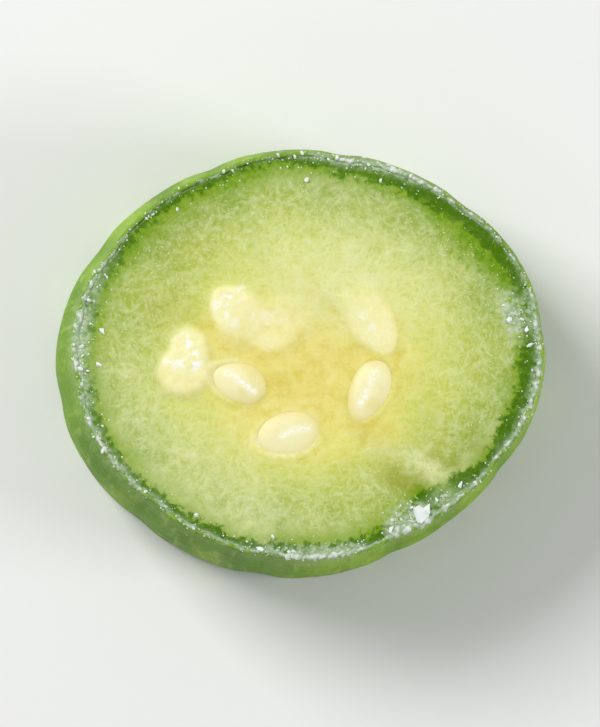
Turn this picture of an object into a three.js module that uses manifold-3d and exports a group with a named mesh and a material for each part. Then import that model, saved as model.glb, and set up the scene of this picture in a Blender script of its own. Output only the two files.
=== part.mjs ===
// A thick round cut across a young sponge gourd (Luffa aegyptiaca), lying on its lower cut face.
//
// Units are millimetres, +Z is up, and the origin is the middle of the lower cut face's bounding box.
// Flesh, skin and seeds grew as one fruit, so the slice is one solid:
//   - an oval body with a thin skin, ten shallow furrows down its side, and a lean and a flare, because
//     the fruit tapers and the knife went through it at a slight slant;
//   - an upper cut face that is a little domed, sinks in the middle, and meets a proud edge of skin;
//   - seeds on both cut faces. On the upper face three lie open and five are low swellings under a thin
//     film of flesh. Those below lie in hollows, level with the cut.

import * as THREE from "three";
import { mergeVertices, toCreasedNormals } from "three/addons/utils/BufferGeometryUtils.js";
import Module from "manifold-3d";

// ---- Driving dimensions ----------------------------------------------------------------------------

const THICKNESS = 24; // between the two cut faces
const FACE_RADIUS = 24.3; // mean radius of the upper cut face

// The upper face's outline: waves of this height, this many round it, with a crest at turnDeg.
const OUTLINE_WAVES = [
  { count: 2, height: 1.75, turnDeg: 3.4 }, // the oval
  { count: 4, height: 0.33, turnDeg: 2 }, // slightly flattened sides
  { count: 3, height: 0.2, turnDeg: 23 }, // the three seed chambers
];

const FURROWS = { count: 10, depth: 0.28, turnDeg: 8, sharpness: 6 };

const FLARE = 1.2; // how much wider the lower face is, all round
const BULGE = 0.6; // how far the side swells half way up
const LEAN = new THREE.Vector2(-0.9, -0.7); // how far the lower face is shifted against the upper one
const SLANT = new THREE.Vector2(0.018, -0.014); // rise of the upper cut for each millimetre along x and y

const EDGE_ROUND = 0.5; // radius of both cut edges
const EDGE_STEPS = 3;

const SKIN = { thickness: 1.1, proud: 0.12 }; // the skin's cut edge stands this far above the flesh
const DOME = 0.35; // rise of the flesh from the skin to the middle
const HEART = { x: -0.3, y: -2.4, radius: 11.5, depth: 0.55 }; // the sunken middle, where the seeds lie

// Seeds: a flattened egg each, with its narrow end along turnDeg. On the upper face a seed is widest at
// this bedding below the cut, and its proud side rises by rise above it, rounded by this power.
const SEED_SIZE = { length: 7.2, width: 4.5, height: 2.0, taper: 0.14 };
const SEED_CAP = { bedding: 0.1, power: 1.6 };
const OPEN_SEEDS = [
  { x: -8.1, y: -3.3, turnDeg: 160, length: 7.0, width: 4.6, rise: 0.55 },
  { x: -2.4, y: -9.0, turnDeg: 193, length: 7.5, width: 5.0, rise: 0.5 },
  { x: 7.1, y: -4.1, turnDeg: -116, length: 7.7, width: 4.6, rise: 0.6 },
];
const FILM_SEEDS = [
  { x: -14.1, y: -2.0, turnDeg: 96, length: 5.5, width: 5.6, rise: 0.65 },
  { x: -13.3, y: 0.9, turnDeg: 96, length: 5.0, width: 4.5, rise: 0.55 },
  { x: -8.0, y: 4.5, turnDeg: 128, length: 7.2, width: 5.5, rise: 0.5 },
  { x: -3.4, y: 3.0, turnDeg: 20, length: 7.4, width: 5.6, rise: 0.4 },
  { x: 7.0, y: 3.7, turnDeg: -56, length: 8.4, width: 5.4, rise: 0.5 },
];

// Below, two seeds lie side by side in each of the three chambers, level with the cut.
const LOWER_SEEDS = { chambers: 3, ring: 9.2, apartDeg: 34, turnDeg: 50, recess: 0.12 };
const UNEVEN = { ring: 0.5, placeDeg: 3, turnDeg: 10 }; // how far they stray from an even layout
const HOLLOW = { margin: 0.45, depth: 0.5 }; // round each of them

const FLESH_COLOUR = 0xbccd7c;
const FLESH_ROUGHNESS = 0.45;

// How finely the round forms are cut into flats, and the angle from which an edge shows as one.
const CREASE_DEG = 40;
const SECTORS = 100;
const WALL_STEPS = 6;
const FACE_RINGS = [0.9, 0.76, 0.6, 0.44, 0.3, 0.15]; // shares of the way from the middle to the skin
const LOWER_RINGS = [0.6, 0.25];
const SEED_SEGMENTS = [14, 8];

// ---- Helpers ---------------------------------------------------------------------------------------

const radians = THREE.MathUtils.degToRad;

/** 0 below low, 1 above high, and smooth in between. */
const smooth = THREE.MathUtils.smoothstep;

// ---- The body --------------------------------------------------------------------------------------

/** Distance from the upper face's middle to its edge, in the direction of angle. */
function faceRadius(angle) {
  const waves = OUTLINE_WAVES.reduce(
    (sum, wave) => sum + wave.height * Math.cos(wave.count * (angle - radians(wave.turnDeg))),
    0,
  );
  const furrow = 0.5 + 0.5 * Math.cos(FURROWS.count * (angle - radians(FURROWS.turnDeg)));
  return FACE_RADIUS + waves - FURROWS.depth * furrow ** FURROWS.sharpness;
}

/** A point on the side wall, or inset from it, at a height above the lower face. */
function wallPoint(angle, height, inset = 0) {
  const up = height / THICKNESS;
  const radius = faceRadius(angle) + FLARE * (1 - up) + BULGE * Math.sin(Math.PI * up) - inset;
  return new THREE.Vector3(
    radius * Math.cos(angle) + LEAN.x * (1 - up),
    radius * Math.sin(angle) + LEAN.y * (1 - up),
    height,
  );
}

/** Height of the upper cut face at x, y, where share is how far that is from the middle to the skin. */
function upperHeight(x, y, share) {
  const dome = DOME * (1 - share * share);
  const heart = 1 - smooth(Math.hypot(x - HEART.x, y - HEART.y), HEART.radius * 0.5, HEART.radius);
  return THICKNESS - SKIN.proud + dome - HEART.depth * heart;
}

/** The closed rings of the body, from the middle of the lower face, up the side, to that of the upper. */
function bodyRings() {
  const angles = Array.from({ length: SECTORS }, (_, i) => (2 * Math.PI * i) / SECTORS);
  const ring = (pointAt) => angles.map(pointAt);
  const rings = [];

  for (const share of [...LOWER_RINGS].reverse()) {
    rings.push(ring((a) => scaledFromAxis(wallPoint(a, 0, EDGE_ROUND), share, LEAN)));
  }
  for (let i = 0; i <= EDGE_STEPS; i++) {
    const turn = (Math.PI / 2) * (i / EDGE_STEPS);
    const inset = EDGE_ROUND * (1 - Math.sin(turn));
    const height = EDGE_ROUND * (1 - Math.cos(turn));
    rings.push(ring((a) => wallPoint(a, height, inset)));
  }
  const wallHeight = THICKNESS - 2 * EDGE_ROUND;
  for (let i = 1; i < WALL_STEPS; i++) {
    rings.push(ring((a) => wallPoint(a, EDGE_ROUND + (wallHeight * i) / WALL_STEPS)));
  }
  for (let i = 0; i <= EDGE_STEPS; i++) {
    const turn = (Math.PI / 2) * (i / EDGE_STEPS);
    const inset = EDGE_ROUND * (1 - Math.cos(turn));
    const height = THICKNESS - EDGE_ROUND * (1 - Math.sin(turn));
    rings.push(ring((a) => wallPoint(a, height, inset)));
  }
  const skinInner = (a) => wallPoint(a, THICKNESS, SKIN.thickness);
  for (const share of [1, ...FACE_RINGS]) {
    rings.push(
      ring((a) => {
        const point = scaledFromAxis(skinInner(a), share, new THREE.Vector2());
        return point.setZ(upperHeight(point.x, point.y, share));
      }),
    );
  }
  return rings;
}

/** point moved level towards the axis at centre, to this share of its distance from it. */
function scaledFromAxis(point, share, centre) {
  return new THREE.Vector3(
    centre.x + (point.x - centre.x) * share,
    centre.y + (point.y - centre.y) * share,
    point.z,
  );
}

/** Closed surface through the rings, with a fan at each end round the rings' own middle. */
function bodyGeometry() {
  const rings = bodyRings();
  const points = rings.flat();
  const lowerMiddle = points.push(new THREE.Vector3(LEAN.x, LEAN.y, 0)) - 1;
  const upperMiddle = points.push(new THREE.Vector3(0, 0, upperHeight(0, 0, 0))) - 1;
  const index = [];
  for (let r = 0; r + 1 < rings.length; r++) {
    for (let s = 0; s < SECTORS; s++) {
      const next = (s + 1) % SECTORS;
      const [a, b] = [r * SECTORS + s, r * SECTORS + next];
      const [c, d] = [a + SECTORS, b + SECTORS];
      index.push(a, b, d, a, d, c);
    }
  }
  const last = (rings.length - 1) * SECTORS;
  for (let s = 0; s < SECTORS; s++) {
    const next = (s + 1) % SECTORS;
    index.push(lowerMiddle, next, s);
    index.push(upperMiddle, last + s, last + next);
  }
  return new THREE.BufferGeometry().setFromPoints(points).setIndex(index);
}

// ---- The seeds -------------------------------------------------------------------------------------

/** A flattened egg whose narrow end points along +X. With a cap, its upper side is rounded up to that. */
function eggGeometry({ length, width, height, cap }) {
  const egg = new THREE.SphereGeometry(1, ...SEED_SEGMENTS);
  egg.rotateX(Math.PI / 2);
  const position = egg.getAttribute("position");
  for (let i = 0; i < position.count; i++) {
    const along = position.getX(i);
    const up = position.getZ(i);
    const narrowing = 1 - SEED_SIZE.taper * along;
    position.setXYZ(
      i,
      (along * length) / 2,
      (position.getY(i) * narrowing * width) / 2,
      cap && up > 0 ? up ** SEED_CAP.power * cap : (up * narrowing * height) / 2,
    );
  }
  return egg;
}

/** An egg turned to turnDeg about the vertical, with its widest part at x, y, z. */
function placedEgg(seed) {
  return eggGeometry(seed).rotateZ(radians(seed.turnDeg)).translate(seed.x, seed.y, seed.z);
}

/** A seed bedded in the upper cut. */
function upperSeed(seed) {
  const share = Math.hypot(seed.x, seed.y) / FACE_RADIUS;
  const z = upperHeight(seed.x, seed.y, share) - SEED_CAP.bedding;
  return { ...seed, height: SEED_SIZE.height, cap: seed.rise + SEED_CAP.bedding, z };
}

/** The seeds of the lower face, whose lowest points lie just inside the cut. */
function lowerSeeds() {
  return Array.from({ length: 2 * LOWER_SEEDS.chambers }, (_, i) => {
    const side = i % 2 ? 1 : -1;
    const chamberDeg = LOWER_SEEDS.turnDeg + (360 * Math.floor(i / 2)) / LOWER_SEEDS.chambers;
    const placeDeg = chamberDeg + (side * LOWER_SEEDS.apartDeg) / 2 + UNEVEN.placeDeg * Math.sin(4.1 * i);
    const ring = LOWER_SEEDS.ring + UNEVEN.ring * Math.sin(2.4 * i);
    return {
      ...SEED_SIZE,
      x: LEAN.x + ring * Math.cos(radians(placeDeg)),
      y: LEAN.y + ring * Math.sin(radians(placeDeg)),
      z: LOWER_SEEDS.recess + SEED_SIZE.height / 2,
      turnDeg: placeDeg + 180 + 8 * side + UNEVEN.turnDeg * Math.sin(3.3 * i + 1),
    };
  });
}

/** The shallow hollow of the lower cut round a seed. */
function hollowRound(seed) {
  return {
    ...seed,
    length: seed.length + 2 * HOLLOW.margin,
    width: seed.width + 2 * HOLLOW.margin,
    height: 2 * HOLLOW.depth,
    z: 0,
  };
}

// ---- Joining ---------------------------------------------------------------------------------------

const wasm = await Module();
wasm.setup();

/** A closed geometry as a solid that can be joined and cut. */
function toSolid(geometry) {
  const bare = geometry.clone();
  bare.deleteAttribute("normal");
  bare.deleteAttribute("uv");
  const merged = mergeVertices(bare, 1e-4);
  return new wasm.Manifold(
    new wasm.Mesh({
      numProp: 3,
      vertProperties: new Float32Array(merged.getAttribute("position").array),
      triVerts: new Uint32Array(merged.index.array),
    }),
  );
}

/** A solid as a geometry again. */
function toGeometry(solid) {
  const { numProp, vertProperties, triVerts } = solid.getMesh();
  const positions = new Float32Array((vertProperties.length / numProp) * 3);
  for (let i = 0; i < positions.length / 3; i++) {
    positions.set(vertProperties.subarray(i * numProp, i * numProp + 3), i * 3);
  }
  return new THREE.BufferGeometry()
    .setAttribute("position", new THREE.BufferAttribute(positions, 3))
    .setIndex(new THREE.BufferAttribute(new Uint32Array(triVerts), 1));
}

/** Tips the upper cut by the slant, and leaves the lower one level. */
function slantUpperCut(geometry) {
  const position = geometry.getAttribute("position");
  for (let i = 0; i < position.count; i++) {
    const rise = SLANT.x * position.getX(i) + SLANT.y * position.getY(i);
    position.setZ(i, position.getZ(i) * (1 + rise / THICKNESS));
  }
}

const below = lowerSeeds();
const seeds = [...[...OPEN_SEEDS, ...FILM_SEEDS].map(upperSeed), ...below];
let slice = toSolid(bodyGeometry());
for (const hollow of below.map(hollowRound)) {
  slice = slice.subtract(toSolid(placedEgg(hollow)));
}
for (const seed of seeds) {
  slice = slice.add(toSolid(placedEgg(seed)));
}

const sliceGeometry = toGeometry(slice);
slantUpperCut(sliceGeometry);
sliceGeometry.computeBoundingBox();
const middle = sliceGeometry.boundingBox.getCenter(new THREE.Vector3());
sliceGeometry.translate(-middle.x, -middle.y, 0);

const gourdSlice = new THREE.Mesh(
  toCreasedNormals(sliceGeometry, radians(CREASE_DEG)),
  new THREE.MeshStandardMaterial({ color: FLESH_COLOUR, roughness: FLESH_ROUGHNESS, metalness: 0 }),
);
gourdSlice.name = "gourd_slice";

const spongeGourd = new THREE.Group();
spongeGourd.name = "sponge_gourd";
spongeGourd.add(gourdSlice);

export default spongeGourd;
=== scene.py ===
"""The finish of a thick round cut across a young sponge gourd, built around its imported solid.

The round lies on its lower cut face. Its visible pieces are the flesh, the rind round it, the seeds of
both cut faces, and the frost that a frozen slice carries along its cut edges. Lengths are millimetres
until a mesh is made, and metres after that.
"""

from __future__ import annotations

import logging
import math
from dataclasses import dataclass, field
from enum import Enum
from typing import ClassVar

import bmesh
import bpy
import numpy as np
from mathutils import Matrix, Vector

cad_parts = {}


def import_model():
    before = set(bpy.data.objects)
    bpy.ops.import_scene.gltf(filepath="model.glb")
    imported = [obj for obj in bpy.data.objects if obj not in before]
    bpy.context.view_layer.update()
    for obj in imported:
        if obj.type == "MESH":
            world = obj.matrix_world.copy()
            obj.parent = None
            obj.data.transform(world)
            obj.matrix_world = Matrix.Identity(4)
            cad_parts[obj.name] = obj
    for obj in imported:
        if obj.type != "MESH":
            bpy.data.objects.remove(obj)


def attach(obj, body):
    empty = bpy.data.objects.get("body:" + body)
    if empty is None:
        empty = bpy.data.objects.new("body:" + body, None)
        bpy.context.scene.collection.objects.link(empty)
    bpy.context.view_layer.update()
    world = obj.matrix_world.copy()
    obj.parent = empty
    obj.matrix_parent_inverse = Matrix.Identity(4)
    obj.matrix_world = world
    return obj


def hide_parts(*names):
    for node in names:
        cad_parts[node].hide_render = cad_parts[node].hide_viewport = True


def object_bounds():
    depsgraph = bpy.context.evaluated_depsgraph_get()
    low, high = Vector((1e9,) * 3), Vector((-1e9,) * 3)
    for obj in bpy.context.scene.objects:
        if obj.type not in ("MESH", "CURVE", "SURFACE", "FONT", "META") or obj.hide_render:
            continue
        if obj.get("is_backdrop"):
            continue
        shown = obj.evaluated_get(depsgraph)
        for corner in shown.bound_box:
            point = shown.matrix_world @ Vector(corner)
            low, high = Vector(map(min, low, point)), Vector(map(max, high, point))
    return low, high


LOG = logging.getLogger("sponge_gourd")
MM = 0.001
NODE = "gourd_slice"
BODY = "root"
TINY = 1e-6

# The sockets of a Mix node share their names, so each is found by its place.
MIX_SHARE = 0
MIX_VECTOR_A, MIX_VECTOR_B, MIX_VECTOR = 4, 5, 1
MIX_COLOUR_A, MIX_COLOUR_B, MIX_COLOUR = 6, 7, 2

Array = np.ndarray
Colour = tuple[float, float, float, float]
Inputs = dict[int | str, object]
Material = bpy.types.Material
Piece = bpy.types.Object
Triple = tuple[float, float, float]


class Face(Enum):
    """The two cut faces."""

    UPPER = "upper"
    LOWER = "lower"


class Slot(Enum):
    """The record's material slots, one of which is logged with each piece."""

    FLESH = "flesh"
    SKIN = "skin"
    SEED = "seed"
    FROST = "frost"


# ---- Colours and soft steps --------------------------------------------------------------------------


def paint(red: int, green: int, blue: int) -> Colour:
    """A display colour, 0 to 255 a channel, as the linear colour that shaders use."""
    shares = (red / 255, green / 255, blue / 255)
    return (*(((c + 0.055) / 1.055) ** 2.4 if c > 0.04 else c / 12.92 for c in shares), 1.0)


def smooth(value: Array, low: float, high: float) -> Array:
    """0 at low, 1 at high and smooth in between, whichever of the two is larger."""
    share = np.clip((value - low) / (high - low), 0.0, 1.0)
    return share * share * (3.0 - 2.0 * share)


def bell(value: Array, width: float) -> Array:
    """1 at zero, falling off to either side over about this width."""
    return np.exp(-((value / width) ** 2))


def directions(count: int) -> Array:
    """This many directions, evenly spaced round the slice."""
    return np.linspace(0, 2 * np.pi, count, endpoint=False)


def turned(x: Array, y: Array, turn: float) -> tuple[Array, Array]:
    """Places turned round the origin by this angle."""
    return x * math.cos(turn) - y * math.sin(turn), x * math.sin(turn) + y * math.cos(turn)


@dataclass(frozen=True)
class Ramp:
    """A smooth step, which carries low to to_low and high to to_high."""

    low: float
    high: float
    to_low: float = 0.0
    to_high: float = 1.0

    def at(self, value: Array) -> Array:
        """Where the step carries each value."""
        return self.to_low + (self.to_high - self.to_low) * smooth(value, self.low, self.high)


@dataclass(frozen=True)
class Ripple:
    """A sine: how far it swings to either side, at what pace, and where it starts."""

    swing: float
    pace: float
    start: float = 0.0

    def at(self, where: Array | float) -> Array | float:
        """The sine at each place."""
        return self.swing * np.sin(self.pace * where + self.start)


@dataclass(frozen=True)
class Grain:
    """A soft noise: its waves to the metre, its detail, and its upright waves as a share of the others."""

    waves: float
    detail: float = 3.0
    upright: float = 1.0


# ---- Node graphs -------------------------------------------------------------------------------------


@dataclass(frozen=True)
class Signal:
    """What comes out of a node. Signals add, subtract and multiply as plain numbers do."""

    graph: Graph
    socket: bpy.types.NodeSocket

    def __add__(self, other: Signal | float) -> Signal:
        """The sum of both."""
        return self.graph.math("ADD", self, other)

    def __sub__(self, other: Signal | float) -> Signal:
        """What is left of this signal."""
        return self.graph.math("SUBTRACT", self, other)

    def __rsub__(self, other: float) -> Signal:
        """What this signal leaves of a number."""
        return self.graph.math("SUBTRACT", other, self)

    def __mul__(self, other: Signal | float) -> Signal:
        """The product of both."""
        return self.graph.math("MULTIPLY", self, other)

    def ramp(self, step: Ramp) -> Signal:
        """The signal carried through a smooth step.

        Args:
            step: The step's ends, and what they are carried to.

        Returns:
            The new signal.
        """
        inputs = {"Value": self, "From Min": step.low, "From Max": step.high}
        inputs |= {"To Min": step.to_low, "To Max": step.to_high}
        return self.graph.make("ShaderNodeMapRange", inputs, "Result", interpolation_type="SMOOTHSTEP")


class Graph:
    """Adds nodes to a shader or geometry tree, and links them as they are added."""

    def __init__(self, tree: bpy.types.NodeTree) -> None:
        """Starts on an emptied tree."""
        self.tree = tree
        tree.nodes.clear()

    def add(self, kind: str, inputs: Inputs | None = None, **settings: object) -> bpy.types.Node:
        """Adds one node.

        Args:
            kind: The node's type.
            inputs: Input socket, by name or place, to a value or to the signal that feeds it.
            **settings: The node's own settings, such as an operation.

        Returns:
            The new node.
        """
        node = self.tree.nodes.new(kind)
        for name, value in settings.items():
            setattr(node, name, value)
        for key, value in (inputs or {}).items():
            if isinstance(value, Signal):
                self.tree.links.new(value.socket, node.inputs[key])
            else:
                node.inputs[key].default_value = value
        return node

    def make(
        self, kind: str, inputs: Inputs | None = None, output: int | str = 0, **settings: object
    ) -> Signal:
        """Adds one node as add does, and returns what comes out of it."""
        return Signal(self, self.add(kind, inputs, **settings).outputs[output])

    def math(self, operation: str, *numbers: Signal | float) -> Signal:
        """The result of one sum on up to three numbers."""
        return self.make("ShaderNodeMath", dict(enumerate(numbers)), operation=operation)

    def vector(self, operation: str, inputs: Inputs) -> Signal:
        """The result of one sum on vectors."""
        return self.make("ShaderNodeVectorMath", inputs, operation=operation)


class Canvas(Graph):
    """The shader tree of a new material, with what its colours are mixed from."""

    def __init__(self, name: str) -> None:
        """Starts a material with an empty tree.

        Args:
            name: The material's name.
        """
        self.material = bpy.data.materials.new(name)
        self.material.use_nodes = True
        super().__init__(self.material.node_tree)
        self.place = self.make("ShaderNodeTexCoord", output="Object")
        self.noises: dict[Grain, Signal] = {}

    def noise(self, grain: Grain) -> Signal:
        """A noise in object coordinates, made once however often it is asked for.

        Args:
            grain: The noise's waves, detail and stretch.

        Returns:
            The noise, from 0 to 1.
        """
        if grain not in self.noises:
            stretch = {"Vector": self.place, "Scale": (1.0, 1.0, grain.upright)}
            place = self.place if grain.upright == 1.0 else self.make("ShaderNodeMapping", stretch)
            inputs = {"Vector": place, "Scale": grain.waves, "Detail": grain.detail}
            self.noises[grain] = self.make("ShaderNodeTexNoise", inputs)
        return self.noises[grain]

    def carried(self, name: str) -> Signal:
        """A number that the mesh carries at its points."""
        return self.make("ShaderNodeAttribute", output="Fac", attribute_name=name)

    def blend(self, share: Signal, under: Signal | Colour, over: Signal | Colour) -> Signal:
        """The colour under, with this share of the colour over laid on it."""
        inputs = {MIX_SHARE: share, MIX_COLOUR_A: under, MIX_COLOUR_B: over}
        return self.make("ShaderNodeMix", inputs, MIX_COLOUR, data_type="RGBA", clamp_factor=True)

    def banded(self, where: Signal, bands: tuple[tuple[float, Colour], ...]) -> Signal:
        """Colours that run into each other, each at its own place.

        Args:
            where: The signal that says where along the bands a point lies.
            bands: Each band's place, from 0 to 1, and its colour.

        Returns:
            The colour.
        """
        node = self.add("ShaderNodeValToRGB", {"Fac": where})
        stops = node.color_ramp.elements
        for stop in list(stops)[1:]:
            stops.remove(stop)
        stops[0].position, stops[0].color = bands[0]
        for position, colour in bands[1:]:
            stops.new(position).color = colour
        return Signal(self, node.outputs[0])

    def bump(self, *layers: tuple[Signal, float]) -> Signal:
        """A normal from layers of relief.

        Args:
            *layers: Each layer's height, and how deep it is in millimetres.

        Returns:
            The normal.
        """
        under: dict[str, Signal] = {}
        for height, depth in layers:
            inputs = {"Height": height, "Distance": depth * MM, "Strength": 1.0, **under}
            under = {"Normal": self.make("ShaderNodeBump", inputs)}
        return under["Normal"]

    def finished(self, inputs: Inputs) -> Material:
        """Ends the tree in a shader and the output.

        Args:
            inputs: What each socket of the shader is fed with, or is set to.

        Returns:
            The material.
        """
        surface = self.make("ShaderNodeBsdfPrincipled", inputs)
        self.add("ShaderNodeOutputMaterial", {"Surface": surface})
        return self.material


# ---- The shape that every piece follows --------------------------------------------------------------


@dataclass(frozen=True)
class Wave:
    """A wave round the outline, with a crest at turn_deg."""

    count: int
    height: float
    turn_deg: float


@dataclass(frozen=True)
class SeedPlace:
    """A seed on a cut face. Its narrow end points along turn_deg, and rise is how far it stands proud.

    A seed under a film of flesh shows through it: blur is the share of its size over which its outline
    is blurred, clear is how plain it is, and fade is how much of that is lost towards fade_deg. It swells
    the film, a little past its outline where that is blurred. A bare seed's veil is such a seed with no
    rise.
    """

    name: str
    x: float
    y: float
    turn_deg: float
    length: float
    width: float
    rise: float
    blur: float = 0.0
    clear: float = 1.0
    fade_deg: float = 0.0
    fade: float = 0.0
    taper: float = 0.14

    # How a covered seed shows: crisper away from the side on which it fades, clear and level within.
    CRISPER: ClassVar[Ramp] = Ramp(0.3, -0.9, 0.0, 0.75)
    FADING: ClassVar[Ramp] = Ramp(-0.4, 1.0)
    CLEAR_WITHIN: ClassVar[float] = 0.95
    SKIRT: ClassVar[float] = 0.4
    LEVEL_WITHIN: ClassVar[float] = 0.75

    def local(self, x: Array, y: Array) -> tuple[Array, Array]:
        """Points of the face as places along and across the seed."""
        return turned(x - self.x, y - self.y, -math.radians(self.turn_deg))

    def spread(self, along: Array, across: Array) -> tuple[Array, Array]:
        """Places along and across the seed as points of the face."""
        x, y = turned(along, across, math.radians(self.turn_deg))
        return self.x + x, self.y + y

    def outline(self, x: Array, y: Array) -> tuple[Array, Array]:
        """How far points lie outside the seed's outline.

        Args:
            x: Places across the face.
            y: Places up the face.

        Returns:
            The share of the way from the seed's middle to its outline, and the distance past it.
        """
        along, across = self.local(x, y)
        a, b = self.length / 2, self.width / 2
        across = across / (1 - self.taper * np.clip(along / a, -1, 1))
        share = np.sqrt((along / a) ** 2 + (across / b) ** 2) + TINY
        slope = np.sqrt((along / a**2) ** 2 + (across / b**2) ** 2) / share + TINY
        return share, (share - 1) / slope

    def covered(self, x: Array, y: Array) -> Array:
        """How clearly the seed shows through its film of flesh.

        Args:
            x: Places across the face.
            y: Places up the face.

        Returns:
            0 where nothing shows, to 1 where the seed is plain to see.
        """
        faded = turned(x - self.x, y - self.y, -math.radians(self.fade_deg))[0] / (self.length / 2)
        soft = self.blur * (1 - (self.fade > 0) * self.CRISPER.at(faded))
        clear = self.clear * (1 - self.fade * self.FADING.at(faded))
        return clear * smooth(self.outline(x, y)[0], 1 + soft / 2, self.CLEAR_WITHIN - soft / 2)

    def swelling(self, x: Array, y: Array) -> Array:
        """How the seed swells the film of flesh above it.

        Args:
            x: Places across the face.
            y: Places up the face.

        Returns:
            How far the film is lifted.
        """
        out = self.outline(x, y)[0]
        skirt = 1 + self.blur * self.SKIRT
        swell = np.sqrt(np.clip(1 - (out / skirt) ** 2, 0, 1))
        return self.rise * swell * smooth(out, skirt, self.LEVEL_WITHIN)


@dataclass(frozen=True)
class Chambers:
    """The seeds of the lower cut: two side by side in each chamber, level with the cut."""

    count: int = 3
    first_deg: float = 50.0
    apart_deg: float = 34.0
    splay_deg: float = 8.0
    ring: float = 9.2
    length: float = 7.2
    width: float = 4.5
    ring_stray: Ripple = Ripple(0.5, 2.4)
    place_stray: Ripple = Ripple(3.0, 4.1)
    turn_stray: Ripple = Ripple(10.0, 3.3, 1.0)

    def seeds(self, middle: tuple[float, float]) -> tuple[SeedPlace, ...]:
        """Lays out the seeds, chamber by chamber.

        Args:
            middle: The middle of the lower cut.

        Returns:
            The seeds, numbered from the first chamber on.
        """
        made = []
        for i in range(2 * self.count):
            side = 1 if i % 2 else -1
            chamber_deg = self.first_deg + 360 / self.count * (i // 2)
            place_deg = chamber_deg + self.apart_deg / 2 * side + self.place_stray.at(i)
            ring = self.ring + self.ring_stray.at(i)
            x = middle[0] + ring * math.cos(math.radians(place_deg))
            y = middle[1] + ring * math.sin(math.radians(place_deg))
            turn_deg = place_deg + 180 + self.splay_deg * side + self.turn_stray.at(i)
            made.append(SeedPlace(f"below_{i + 1}", x, y, turn_deg, self.length, self.width, 0.0))
        return tuple(made)


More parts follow.
